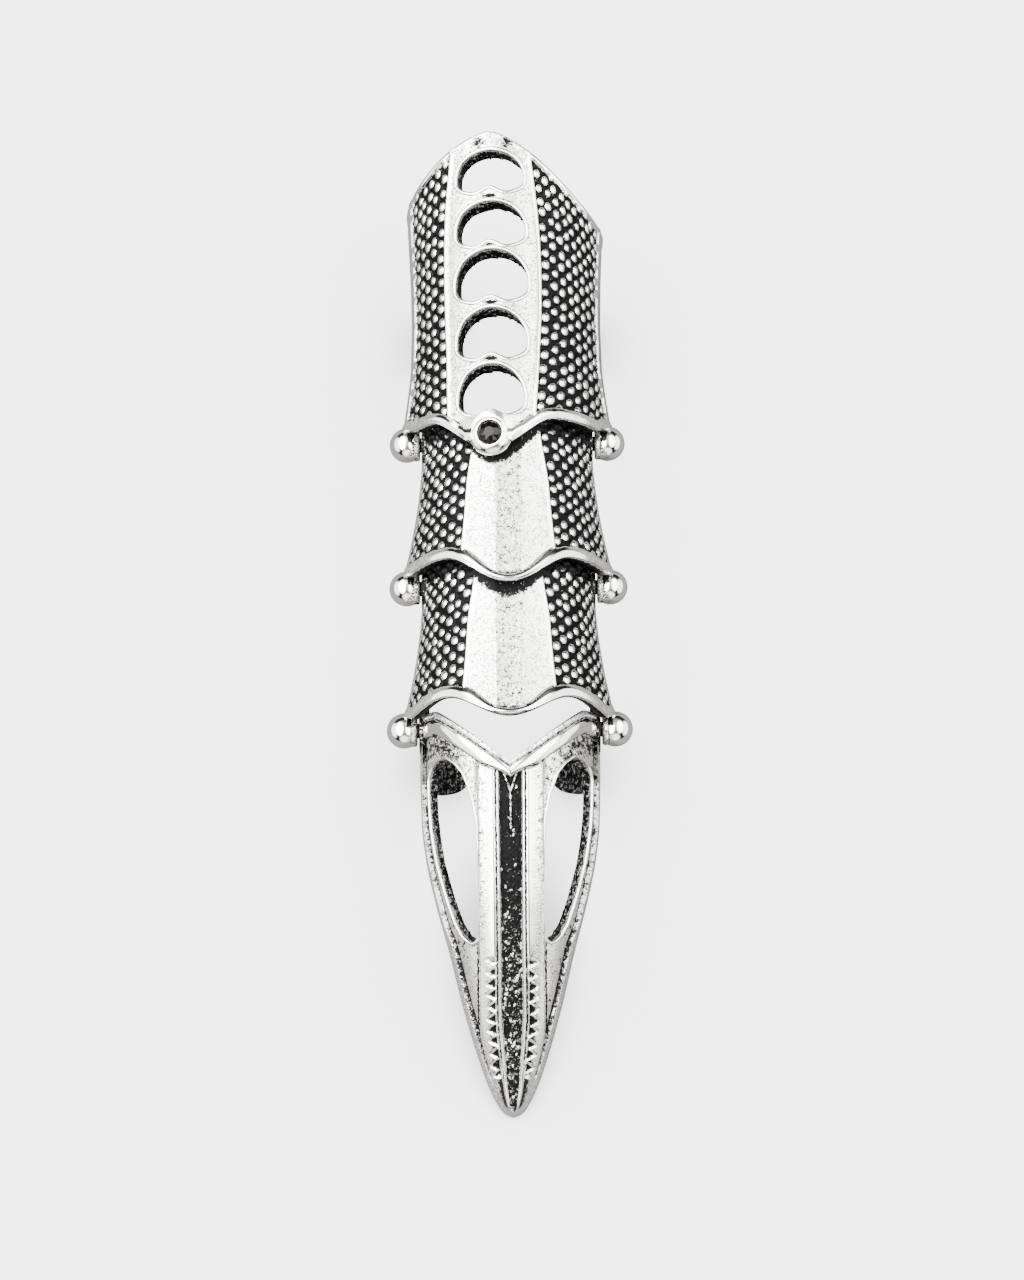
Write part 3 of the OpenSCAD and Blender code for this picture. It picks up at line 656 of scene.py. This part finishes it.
def finger_band(casting, y, r, width, gap, centre_z, top):
    """Open band: the annulus r..r + 1.4 from its rounded end up to the plate. At the place v
    across its width the end lies at x = (gap + width)/2 - sqrt((width/2)^2 - v^2)."""
    w = width / 2
    v = w * np.sin(np.linspace(-np.pi / 2, np.pi / 2, 33))
    # once across the outer face, round the side, back across the inner face, round the other side
    beyond, bend = w + 0.12, np.array([0.72, 0.28])
    loop_v = np.concatenate([v, [beyond, beyond], v[::-1], [-beyond, -beyond]])
    loop_r = r + BAND_T * np.concatenate([0 * v + 1, bend, 0 * v, bend[::-1]])
    end_x = w + gap / 2 - np.sqrt(np.maximum(0, w**2 - np.minimum(np.abs(loop_v), w) ** 2))
    start = np.degrees(np.arcsin(np.minimum(1, end_x / (r + BAND_T))))
    q = np.linspace(0, 1, 40)[:, None]
    from_middle = loop_r - r - BAND_T / 2
    for side in (-1, 1):
        a = np.radians(mix(start, top, q))
        out = np.stack([side * np.sin(a), 0 * a, -np.cos(a)], -1)
        p = np.stack([0 * a, y + loop_v + 0 * a, centre_z + 0 * a], -1) + loop_r[:, None] * out
        dark = 0.12 + 0.6 * smooth(-from_middle / 0.3)
        casting.sheet(p, from_middle[:, None] * out, dark, 0.7, closed=True)
        outer_end, inner_end = p[0, :33], p[0, 35:68][::-1]
        casting.edge(outer_end, inner_end, [-side * 0.8, 0, -0.2], 0.12, 0.1, 0.5)


BAND_TOP_A = 102       # the bands end this many degrees up from the palm side, inside the skirts
finger_band(shield, BASE_Y + 0.41 * SHIELD_LEN, FINGER_R, 8.0, 11.8, HINGE_Z, BAND_TOP_A)


def lugs(casting, y, x0, x1, radius, seat=0.0):
    """Round lugs on both sides between |x| = x0 and x1, their edges rounded, with a sunk seat for
    the riveted end of a pin on the inner face. Seated ones are black, oxide and painted shade; the
    others are painted with shade that grows towards the bottom."""
    for side in (-1, 1):
        profile = [(x0 + seat, 0.4), (x0 + seat, 1.45), (x0, 1.45), (x0, radius - 0.15),
                   (x0 + 0.15, radius), (x1 - 0.15, radius), (x1, radius - 0.15), (x1, 0.4)]
        turn = np.sin(np.linspace(0, 2 * np.pi, 40, endpoint=False))
        # painted shade: the lugs lie in the shadow between the ball heads and the plates, darkest
        # below
        low = 0.8 if seat else mix(0.4, 0.9, smooth((0.9 - radius * turn) / 1.2))
        casting.turned([0, y, HINGE_Z], [side, 0, 0], profile, low, 0.5)


BOSS_R = 1.7           # the lugs under the ball heads are smaller than the inner ones
lugs(shield, BASE_Y, UPPER_LUG + LUG_GAP, UPPER_LUG + LUG_GAP + LUG_T, BOSS_R)

# %% [markdown]
# ## Stone and its collet
#
# The small dark stone sits in a raised round collet at the point of the shield. A round cut is a
# flat table, star and kite facets round it, a girdle and a pavilion: five rings of points, with
# flat faces between them.

# %% Collet and stone
STONE_Y = BASE_Y - SHIELD_EDGE[0] / 2
origin, e, n = crown_frame(STONE_Y)
r = STONE_GROWTH * STONE_D / 2
wall_r = r + COLLET_T
shield.turned(origin, n, [(-0.7, wall_r + 0.5), (0.0, wall_r + 0.42), (0.2, wall_r + 0.15),
                          (0.38, wall_r - 0.2), (COLLET_UP, r + 0.12), (0.4, r + 0.04),
                          (0.25, r), (-0.5, r - 0.05)], 0.0, 0.1, 48)
shield.piece("shield_casting", "base", ["shield_plate"], CAST)


def ring(count, radius, height, offset):
    """Corners of a level polygon about the stone's axis, turned by offset steps."""
    a = 2 * np.pi * (np.arange(count) + offset) / count
    f = np.array([0, 1.0, 0])
    return (origin + radius * (np.cos(a)[:, None] * e + np.sin(a)[:, None] * f)
            + (COLLET_UP - 0.12 + height) * n)


def cut_stone():
    """Round cut: table, 8 stars, 8 kites, 16 upper girdle facets, girdle, 16 pavilion facets."""
    table, mid = ring(8, 0.42 * r, 0.34 * r, 0), ring(8, 0.76 * r, 0.2 * r, 0.5)
    girdle, low = ring(16, 0.98 * r, 0, 0), ring(16, 0.98 * r, -0.1, 0)
    foot = ring(16, 0.25 * r, -0.7, 0)
    points = np.concatenate([table, mid, girdle, low, foot])
    faces = [list(range(8)), [64 - 1 - k for k in range(16)]]
    for k in range(8):
        nxt, before, g = (k + 1) % 8, (k - 1) % 8, 16 + 2 * k
        faces += [[k, 8 + k, nxt], [k, 8 + before, g, 8 + k],
                  [8 + k, g, g + 1], [8 + k, g + 1, 16 + (2 * k + 2) % 16]]
    for k in range(16):
        nxt = (k + 1) % 16
        faces += [[16 + k, 32 + k, 32 + nxt, 16 + nxt], [32 + k, 48 + k, 48 + nxt, 32 + nxt]]
    made = mesh_object("stone_round_cut", points, faces, STONE)
    stand_for(made, "base", ["centre_stone"])
    print(f"stone: {len(faces)} faces with those of the girdle, {2 * r:.1f} mm across")


cut_stone()

# %% [markdown]
# ## Knuckle plates
#
# Two short plates overlap like roof tiles. Each is narrow at its hidden rear edge and flares to a
# wavy rim, with beads on both sides and a smooth sandblasted band over the knuckle. Under the edge
# of the plate before, oxide and a painted shadow of that edge keep the plate black.

# %% Knuckle plates
def knuckle_sheet(b, t, rear_y, front_y, lug_x, next_x, edge, tuck, inner=False):
    """Half-width and rise grow with the share s from the hinge as s^1.8 and s^1.5."""
    x, dz = arch(b, CORNER_X, RIM_RISE, SKIRT)
    low = np.maximum(wave(b, edge), ball_notch(x, dz, next_x))
    y = mix(rear_y + tuck, front_y + low, t)
    s = np.clip((rear_y - y) / (rear_y - front_y), 0, 1)
    half, rise = mix(lug_x - 0.05, CORNER_X, s**1.8), mix(TUCK_R, RIM_RISE, s**1.5)
    if inner:
        half = mix(lug_x - 1.05, next_x + LUG_GAP + 0.3, smooth(s / 0.8))
        rise = rise - mix(1.0, RIM_T, s)
    x, z = arch(b, half, rise, SKIRT)
    return np.stack([x, y, HINGE_Z + z], -1)


def knuckle_plate(name, body, node, shape, edge_before, roll, facets, dish, seed):
    """One plate of this shape: the edge before it, turned by roll, shades it, facets says how flat
    its band's three facets are, and dish how deep the band lies in millimetres."""
    rear_y, front_y, lug_x, next_x, edge, _ = shape
    rows = stops((0, 120), (1 - 1.1 / 16.5, 12), (1, 0))
    B, (jl, jr) = columns(22 + 5 * smooth(rows / 0.5), 85, 85, 1.55, 56, 10)
    T = np.broadcast_to(rows[:, None], B.shape)
    side_b = np.abs(B)
    base = knuckle_sheet(B, T, *shape)
    across, along = run(base, 1), run(base, 0)
    across -= across[:, B.shape[1] // 2][:, None]
    outside = np.maximum(across - across[:, jr:jr + 1], across[:, jl:jl + 1] - across)
    from_low = (along[-1:] - along) * square_to(base, -1, -2)
    rim = mix(0.45, 1.15, smooth((side_b - 6) / 18))
    field = smooth((from_low - rim) / 0.12) * smooth((86 - side_b) / 1.5) * smooth(outside / 0.12)
    h = beads(outside - 0.05, base[..., 1] - front_y, seed)
    lift = field * BEAD_H * (h - 1) + 0.13 * smooth(1 - np.abs(from_low / rim - 0.5) / 0.6)
    band_in = -outside
    # three flat facets: each is a chord of the arch, (s - s0)(s1 - s) / 2R below it, R = 10 mm
    s, outer_s = np.abs(across), (across[:, jr:jr + 1] - across[:, jl:jl + 1]) / 2
    chord = np.where(s < FACET_S, FACET_S**2 - s**2, (s - FACET_S) * (outer_s - s)) / (2 * 10)
    on_band = smooth(band_in / 0.25) * smooth((from_low - rim) / 0.25)
    lift -= on_band * (facets * np.where(band_in > 0, chord, 0) + dish * smooth(band_in / 3))
    lift += 0.06 * hill(band_in - 0.12, 0.16) * smooth((from_low - rim) / 0.2)
    crease = hill(from_low - 0.75, 0.1) * smooth((7 - side_b) / 2)
    lift -= 0.15 * crease
    # oxide and the painted shadow of the edge before, under it; oxide in the field's ground, in the
    # crease and behind the rim
    reach = base[..., 1] - (rear_y + wave(B + roll * (1 - (side_b / SIDE_A) ** 4), edge_before))
    shade = smooth((reach + mix(1.9, 2.2, smooth((25 - side_b) / 15))) / 1.3)
    dark = np.maximum.reduce([field * bead_dark(h), 0.95 * shade, 0.9 * crease,
                              0.7 * hill(from_low - rim, 0.14) * smooth(outside / 0.3),
                              0.5 * smooth((side_b - 88) / 8) * smooth((from_low - rim) / 0.5)])
    # the rim is worn on its shoulders, and the middle facet is painted darker than the outer two, a
    # painted reflection of a dimmer part of the sky
    worn = smooth((rim - from_low) / 0.2) * smooth((side_b - 25) / 30)
    # painted reflection: the middle facet is darkened as if it caught a dimmer part of the sky
    painted_facet_reflection = on_band * smooth((FACET_S + 0.15 - s) / 0.3) * (band_in > 0)
    dark = np.maximum.reduce([dark, 0.36 * worn, 0.41 * painted_facet_reflection])
    satin = smooth((band_in - 0.25) / 0.3) * smooth((from_low - rim) / 0.15)
    satin = np.maximum(satin, 0.03 + 0.3 * worn) * mix(1.0, 0.75, smooth((s - FACET_S) / 0.3))
    satin = np.maximum(satin, 0.03)
    surface = base + lift[..., None] * normals(base)
    plate = Casting()
    plate.sheet(surface, from_axis(base), dark, satin)
    inner_b, inner_t = np.meshgrid(np.linspace(-SIDE_A, SIDE_A, 90), np.linspace(0, 1, 40))
    inner = knuckle_sheet(inner_b, inner_t, *shape, inner=True)
    plate.sheet(inner, -from_axis(inner), *INSIDE)
    for at, toward, bulge in ((-1, [0, -1, 0], 0.16), (0, [0, 1, 0], 0.1),
                              (FIRST_COLUMN, [0, 0, -1], 0.15), (LAST_COLUMN, [0, 0, -1], 0.15)):
        plate.edge(surface[at], knuckle_sheet(B[at], T[at], *shape, inner=True), toward, bulge)
    lugs(plate, rear_y, lug_x - LUG_T, lug_x, LUG_R, 0.4)
    lugs(plate, front_y, next_x + LUG_GAP, next_x + LUG_GAP + LUG_T, BOSS_R)
    plate.piece(name, body, [node], CAST)


knuckle_plate("upper_knuckle_casting", "upper", "upper_knuckle_plate",
              (BASE_Y, MIDDLE_Y, UPPER_LUG, LOWER_LUG, UPPER_EDGE, SHIELD_EDGE[1] + TUCK),
              SHIELD_EDGE, CROWN_ROLL, 1.0, 0.12, 11)
knuckle_plate("lower_knuckle_casting", "lower", "lower_knuckle_plate",
              (MIDDLE_Y, CLAW_Y, LOWER_LUG, CLAW_LUG, LOWER_EDGE, UPPER_EDGE[1] + TUCK),
              UPPER_EDGE, 0, 1.4, 0.0, 23)


# %% [markdown]
# ## Ball-headed pins
#
# Each hinge turns on two short pins, polished balls outside and riveted flat inside.

# %% Pins
def ball_pins(name, body, nodes, y, lug_x):
    """Each pin turned in one: flush riveted end, shaft, and the ball, a circle of radius 1.88
    about its middle from the lug's inner face outwards."""
    pins = Casting()
    within, gap = lug_x - LUG_T, lug_x + LUG_GAP + 0.05
    middle = lug_x + LUG_GAP + LUG_T + BALL_OUT
    a = np.radians(np.linspace(180, 0.4, 44))
    head = [(middle + BALL_R * math.cos(k), BALL_R * math.sin(k)) for k in a
            if middle + BALL_R * math.cos(k) > gap]
    profile = ([(within, 0.02), (within, 1.2), (within + 0.1, 1.3), (within + 0.35, 1.3),
                (within + 0.35, 0.8), (gap, 0.8)] + head)
    for side in (-1, 1):
        pins.turned([0, y, HINGE_Z], [side, 0, 0], profile, 0, 0, 56)
    pins.piece(name, body, nodes, POLISHED)


ball_pins("base_ball_pins", "base", ["base_pin_left", "base_pin_right"], BASE_Y, UPPER_LUG)
ball_pins("middle_ball_pins", "upper", ["middle_pin_left", "middle_pin_right"], MIDDLE_Y, LOWER_LUG)
ball_pins("claw_ball_pins", "lower", ["claw_pin_left", "claw_pin_right"], CLAW_Y, CLAW_LUG)


# %% [markdown]
# ## Claw
#
# The claw is a hollow shell from a V-shaped collar to a solid point. A ridge with a black groove
# runs down its middle between two polished rails, notched near the tip, and each side has one long
# window.

# %% Claw sheets
def claw_edge(a):
    """The collar's V-shaped edge climbs as |sin a|, from its point to 1.1 mm past the hinge."""
    climb = np.minimum(1, np.abs(np.sin(np.radians(a))) / 0.85)
    return CLAW_Y - COLLAR_V + (COLLAR_V + 1.1) * climb


def claw_sizes(y):
    """Half-width, height of the side line, rise of the crown and height of the lower edge at y."""
    share = (CLAW_Y - y) / CLAW_LEN
    return (CLAW_X * column(CLAW, 1, share), HINGE_Z * column(CLAW, 2, share),
            CLAW_RISE * column(CLAW, 3, share), (HINGE_Z - SKIRT) * column(CLAW, 4, share))


def claw_sheet(a, y, inner=False):
    """Outer section: half an ellipse over the side line. The inner one closes towards the solid tip
    by 1 - 0.97 smooth((share - 0.66) / 0.2)."""
    half, line, crown, floor = claw_sizes(y)
    if not inner:
        x, z = arch(a, half, crown, line - floor)
        return np.stack([x, y + 0 * x, line + z], -1)
    share = (CLAW_Y - y) / CLAW_LEN
    hollow = 1 - 0.97 * smooth((share - 0.66) / 0.2)
    drop, rise = hollow * (line - floor), np.maximum(0.1, hollow * (crown - 1.5 * CLAW_T))
    wall = mix(1.0, CLAW_T, smooth(share / 0.13))
    x, z = arch(a, np.maximum(half - wall, 0.35 * half), rise, drop)
    return np.stack([x, y + 0 * x, floor + drop + z], -1)


def claw_y(a, q):
    """Row place q: 0..1 over the collar, 1..2 from there to the tip, closer together near it."""
    low = claw_edge(a) - COLLAR_W - 0.4
    return np.where(q < 1, mix(claw_edge(a), low, q),
                    mix(low, TIP_Y, 1 - (1 - np.clip(q - 1, 0, 1)) ** 1.25))


def rim_width(y):
    """Distance of the black line from the claw's outline: 0.26 mm beside the windows, 0.5 below."""
    return mix(0.26, 0.5, smooth((-32 - y) / 3))


def claw_columns(q, steps):
    """Side angles of each row: groove, rails, sides and rims keep their own columns."""
    half = claw_sizes(claw_y(np.full(q.shape, 30.0), q))[0]
    groove = np.degrees(np.arcsin(np.minimum(0.27, GROOVE_X / half)))
    ridge = np.degrees(np.arcsin(np.minimum(0.8, RIDGE_X / half)))
    line = rim_width(claw_y(np.full(q.shape, 65.0), q)) - 0.1
    rim = np.maximum(np.degrees(np.arcsin(1 - line / (half + 0.3))), ridge + 6)
    right = spread([0 * q, groove, ridge, rim, 0 * q + 92, 0 * q + SIDE_A], steps)
    return np.concatenate([-right[:, :0:-1], right], axis=1), groove, ridge, rim


q = stops((0, 22), (1, 270), (2, 0))
A, groove_a, ridge_a, rim_a = claw_columns(q, (12, 18, 46, 14, 6))
Y = claw_y(A, q[:, None])
base = claw_sheet(A, Y)
half = claw_sizes(Y)[0]
x, ax = base[..., 0], np.abs(base[..., 0])
groove_x = half * np.sin(np.radians(groove_a))[:, None]
ridge_x = half * np.sin(np.radians(ridge_a))[:, None]
below = (claw_edge(A) - Y) / mix(0.66, 1, smooth(ax / 3.5))
to_tip = Y - TIP_Y
print("claw sheet:", base.shape, "rows and columns")

# %% [markdown]
# The relief of the claw, from the middle outwards: a deep rough groove with a small forked rib at
# its top, a thin slit and a polished rail on each side, a satin side surface that lies lower, and
# a polished double rim. The collar has a satin bevel and a bright bar with a black line between.

# %% Claw relief
RIB_FORK_Y, TEETH_Y, TOOTH_PITCH = -19.6, (-36.3, -48.4), 1.15
on_body = smooth((below - COLLAR_W) / 0.2)
in_groove = smooth((groove_x - ax) / 0.16 + 0.5) * on_body * smooth(to_tip / 0.8)
slit = hill(ax - groove_x - 0.3, 0.13) * on_body * smooth((to_tip - 3) / 3)
side_zone = (smooth((ax - ridge_x) / mix(0.6, 0.2, smooth((-34 - Y) / 4)))
             * smooth(rim_a[:, None] - np.abs(A)) * on_body * smooth((to_tip - 3.2) / 2.5))
rim_line = hill(half - ax - rim_width(Y), 0.3 * rim_width(Y)) * smooth((to_tip - 2) / 3) * on_body
rough = chance(np.round(x / 0.22), np.round(Y / 0.22), 3)
pebble = chance(np.round(x / 0.35 + 0.3 * np.sin(Y)), np.round(Y / 0.3), 8)
rib_x = np.where(Y > RIB_FORK_Y, 0.38 * (Y - RIB_FORK_Y), 0)
rib = hill(ax - np.abs(rib_x), 0.13) * smooth((Y + 25) / 2) * in_groove
slot_lo = groove_x + 0.5
slot_q = (ax - slot_lo) / np.clip(0.8 * (ridge_x - slot_lo), 0.3, 1.0)
notch_y = (Y + 100) / TOOTH_PITCH + 0.12 * np.sign(x)
uneven = chance(np.floor(notch_y), np.sign(x), 6) - 0.5
saw = np.abs(2 * np.modf(notch_y)[0] - 1) + 0.5 * uneven
tooth = (smooth((saw - slot_q) / 0.2 + 0.2) * smooth(slot_q / 0.12) * smooth((1.0 - slot_q) / 0.1)
         * smooth((TEETH_Y[0] - Y) / 0.6) * smooth((Y - TEETH_Y[1]) / 0.6))
bevel = smooth((0.62 - below) / 0.12)
collar_line = hill(below - 0.68, 0.14) + 0.9 * hill(below - 2.42, 0.14)
# The groove runs out over the last 8 mm, and all relief over the last 4 mm
lift = (-GROOVE_H * in_groove * smooth(to_tip / 8) + 0.12 * in_groove * (rough - 0.3) + 0.55 * rib
        - 0.16 * slit - CLAW_RELIEF * side_zone - 0.1 * rim_line - 0.32 * tooth
        + 0.12 * smooth(1 - np.abs(below - 1.5) / 0.9) - 0.16 * collar_line
        + 0.05 * bevel * smooth(below / 0.3))
lift *= smooth(to_tip / 4)
# Oxide in the groove, on the sunk sides and along the ridge's foot near the tip, where the
# polishing wheel didn't reach; painted shade on the sides as they turn away, beside the windows
# where the rails roll over towards them, and in the corners below the collar
groove_dark = in_groove * mix(0.95, 0.8, smooth((-26 - Y) / 9)) - 0.5 * rib
# the sides: oxide on the sunk surface, with painted shade that grows outwards as they turn away
side_oxide_and_shade = side_zone * (0.32 + 0.14 * smooth((ax - 4) / 4) + 0.2 * (pebble > 0.8))
# painted shade beside the windows, where the rails roll over towards them
painted_shade_by_windows = 0.4 * smooth((ax - 2.1) / 0.9) * smooth((Y + 36) / 2) * on_body
# painted shade in the corners below the collar
painted_corner_shade = smooth((ax - 3.0) / 4) * smooth((7.5 - below) / 4) * smooth((below - COLLAR_W) / 0.4)
foot_line = hill(ax - ridge_x - 0.45, 0.18) * smooth((-33 - Y) / 3) * side_zone
dark = np.maximum.reduce([groove_dark, side_oxide_and_shade, painted_shade_by_windows, slit, 0.95 * tooth,
                          0.9 * collar_line, 0.95 * rim_line, 0.7 * painted_corner_shade, 0.85 * foot_line,
                          0.5 * smooth((np.abs(A) - 92) / 5), bevel * (0.2 + 0.3 * pebble)])
# Bright flecks in the groove, few near the collar and many towards the tip
flecks = mix(0.99, 0.93, smooth((-26 - Y) / 8))
dark = np.where((rough > flecks) & (in_groove > 0.5), 0.1, dark)
slope = smooth((ax - mix(groove_x, ridge_x, 0.4)) / 0.5) * on_body
satin = np.maximum.reduce([0.85 * side_zone, 0.9 * bevel, 0.9 * in_groove, 0.03 + 0.5 * slope])
surface = base + lift[..., None] * normals(base)

# %% [markdown]
# The side windows are cut at 45 degrees, square to the claw's slanting sides, so the far wall of
# each one shows through it.

# %% Claw assembly
def side_window(side, n=40):
    """Outline on the outer sheet, its normals and the wall's inner ends."""
    t = (1 - np.cos(np.linspace(0, np.pi, n))) / 2
    y = CLAW_Y - SIDE_WINDOW_TOP - SIDE_WINDOW_LEN * np.concatenate([t, t[-2:0:-1]])
    share = np.concatenate([column(SIDE_WINDOW, 1, t, 0), column(SIDE_WINDOW, 2, t, 0)[-2:0:-1]])
    a = side * np.degrees(np.arcsin(share))
    curve = claw_sheet(a, y)
    half, line, crown, _ = claw_sizes(y)
    normal = np.stack([curve[:, 0] / half**2, 0 * y + 0.012, (curve[:, 2] - line) / crown**2], -1)
    normal /= np.linalg.norm(normal, axis=-1, keepdims=True)
    e, d = np.array([side, 0, -1]) / math.sqrt(2), np.array([side, 0, 1]) / math.sqrt(2)
    sweep = side * np.linspace(-35, SIDE_A, 400)
    ends = []
    for p in curve:
        q = claw_sheet(sweep, np.full(400, p[1]), inner=True)
        order = np.argsort(q @ e)
        ends.append(p + (np.interp(p @ e, (q @ e)[order], (q @ d)[order]) - p @ d - 0.05) * d)
    return curve, normal, np.array(ends), e


claw = Casting()
inner_q = stops((0, 8), (1, 92), (2, 0))
AI, *_ = claw_columns(inner_q, (5, 8, 22, 8, 4))
inner = claw_sheet(AI, claw_y(AI, inner_q[:, None]), inner=True)
keep_outer, keep_inner = all_faces(base), all_faces(inner)
for side in (-1, 1):
    curve, normal, ends, e = side_window(side)
    claw.trim(curve - 0.28 * normal, normal, ends, 0.4, 0.75, 0.8)
    outline = np.stack([curve @ e, curve[:, 1]], -1)
    grown = outline.mean(0) + (outline - outline.mean(0)) * [1.03, 1.02]
    for sheet, keep in ((base, keep_outer), (inner, keep_inner)):
        middle = face_middles(sheet)
        keep &= ~(inside(middle @ e, middle[..., 1], grown if sheet is base else outline)
                  & (side * middle[..., 0] > 0.3))
claw.sheet(surface, from_axis(base), dark, satin, keep_outer)
claw.sheet(inner, -from_axis(inner), *INSIDE, keep_inner)
claw.edge(surface[0], claw_sheet(A[0], Y[0], True), [0, 1, 0], 0.12)
claw.edge(surface[-1], claw_sheet(A[-1], Y[-1], True), [0, -1, 0], 0.03, 1.0)
for j in (0, -1):
    claw.edge(surface[:, j], claw_sheet(A[:, j], Y[:, j], True),
              np.outer(smooth(to_tip[:, j] / 6), [0, 0, -1]), 0.1)
finger_band(claw, CLAW_Y - 2.6, TIP_R, 7.0, 9.4, CLAW_BAND_Z, BAND_TOP_A)
lugs(claw, CLAW_Y, CLAW_LUG - LUG_T, CLAW_LUG, LUG_R, 0.4)
claw.piece("claw_casting", "claw", ["claw"], CAST)

# %% [markdown]
# ## Floor, light and camera
#
# A product photograph on white, with black cards: the camera sees a pale ground, while the metal
# sees soft panels overhead and darkness round and below it, which draws its edges as dark lines.
# The table is a pane of glass over a white ground. Where the ring stands close, a contact shadow
# is painted into the glass's colour from ambient occlusion, and a bent ring, whose claw reaches
# below it, still shows. The lens is a long one, from above.

# %% Floor
clear, tree = new_material("clear_table")
shaded = add(tree, "BsdfPrincipled", {"Base Color": linear("#585858"), "Roughness": 1.0,
                                      "Specular IOR Level": 0.0})
seen = add(tree, "LightPath", out="Is Camera Ray")
below = add(tree, "NewGeometry", out="Backfacing")
shade_reach = 0.014    # metres
# painted contact shadow: the glass darkens to #787878 where ambient occlusion finds the ring close
near = add(tree, "AmbientOcclusion", {"Distance": shade_reach}, "AO", samples=12)
open_to_light = add(tree, "MapRange", {0: near, 1: 0.25, 2: 0.97}, **SOFT)
open_to_light = add(tree, "Math", {0: open_to_light, 1: below}, operation="MAXIMUM")
painted_contact_shadow = add(tree, "Mix", {0: open_to_light, 6: linear("#787878"), 7: linear("#ffffff")}, 2,
           data_type="RGBA")
see_through = add(tree, "Math", {0: seen, 1: below}, operation="MAXIMUM")
either = add(tree, "MixShader", {0: see_through, 1: shaded,
                                 2: add(tree, "BsdfTransparent", {"Color": painted_contact_shadow})})
add(tree, "OutputMaterial", {"Surface": either})
far = 3000
floor = mesh_object("floor", [(-far, -far, 0), (far, -far, 0), (far, far, 0), (-far, far, 0)],
                    [(0, 1, 2, 3)], clear)

# %% Light
world = bpy.data.worlds.new("studio")
bpy.context.scene.world = world
world.use_nodes = True
tree = world.node_tree
tree.nodes.clear()
way = add(tree, "TexCoord", out="Generated")
along = add(tree, "VectorMath", {0: way, 1: (1, 0.5, 1)}, operation="MULTIPLY")
along = add(tree, "VectorMath", {0: along}, operation="NORMALIZE")


def glow(seen_from, direction, start, full, strength):
    """A soft light panel in the sky: its strength follows the cosine to its direction."""
    d = tuple(Vector(direction).normalized())
    cosine = add(tree, "VectorMath", {0: seen_from, 1: d}, "Value", operation="DOT_PRODUCT")
    return add(tree, "MapRange", {0: cosine, 1: start, 2: full, 4: strength}, **SOFT)


# Two long panels beside the finger, drawn out along Y, a faint round one between them, low ones at
# both sides and at the tip, and a dim ground for what reaches below the table:
# direction, cosine where it starts, cosine where it is full, strength
PANELS = [(along, (-0.52, 0.08, 0.85), 0.87, 0.95, 20.0),
          (along, (0.52, 0.06, 0.85), 0.90, 0.965, 12.0), (way, (0, 0.25, 1), 0.5, 1.0, 1.0),
          (along, (-1, 0, 0.3), 0.90, 0.97, 5.0), (along, (1, 0, 0.3), 0.90, 0.97, 5.0),
          (way, (0, -1, 0.45), 0.86, 0.96, 4.0), (way, (0, 0, -1), 0.0, 0.05, 0.3)]
# Strength of the sky as the metal sees it between the panels, and as the camera sees it
DARK_SKY, GROUND = 0.02, 5.1
strength = DARK_SKY
for panel in PANELS:
    strength = add(tree, "Math", {0: strength, 1: glow(*panel)}, operation="ADD")
seen = add(tree, "LightPath", out="Is Camera Ray")
strength = add(tree, "MapRange", {0: seen, 3: strength, 4: GROUND}, **SOFT)
sky = add(tree, "Background", {"Color": linear("#fbfbfb"), "Strength": strength})
add(tree, "OutputWorld", {"Surface": sky})

# %% Camera
PIXEL, FRAME_H = 0.107e-3, 1280    # metres for each pixel, and the frame's height in pixels
elevation, roll = math.radians(78), math.radians(-0.55)
camera_data = bpy.data.cameras.new("camera")
camera_data.lens, camera_data.sensor_width = 150, 36
distance = FRAME_H * PIXEL * camera_data.lens / camera_data.sensor_width
camera_data.clip_start, camera_data.clip_end = 0.01, 20
camera = bpy.data.objects.new("camera", camera_data)
target = Vector((0.32, -1.64, HINGE_Z)) / 1000
back = Vector((0, -math.cos(elevation), math.sin(elevation)))
turn = back.to_track_quat("Z", "Y").to_matrix().to_4x4() @ Matrix.Rotation(roll, 4, "Z")
camera.matrix_world = Matrix.Translation(target + back * distance) @ turn
bpy.context.scene.collection.objects.link(camera)
bpy.context.scene.camera = camera
print(f"camera {distance:.2f} m away, {math.degrees(elevation):.0f} degrees up")
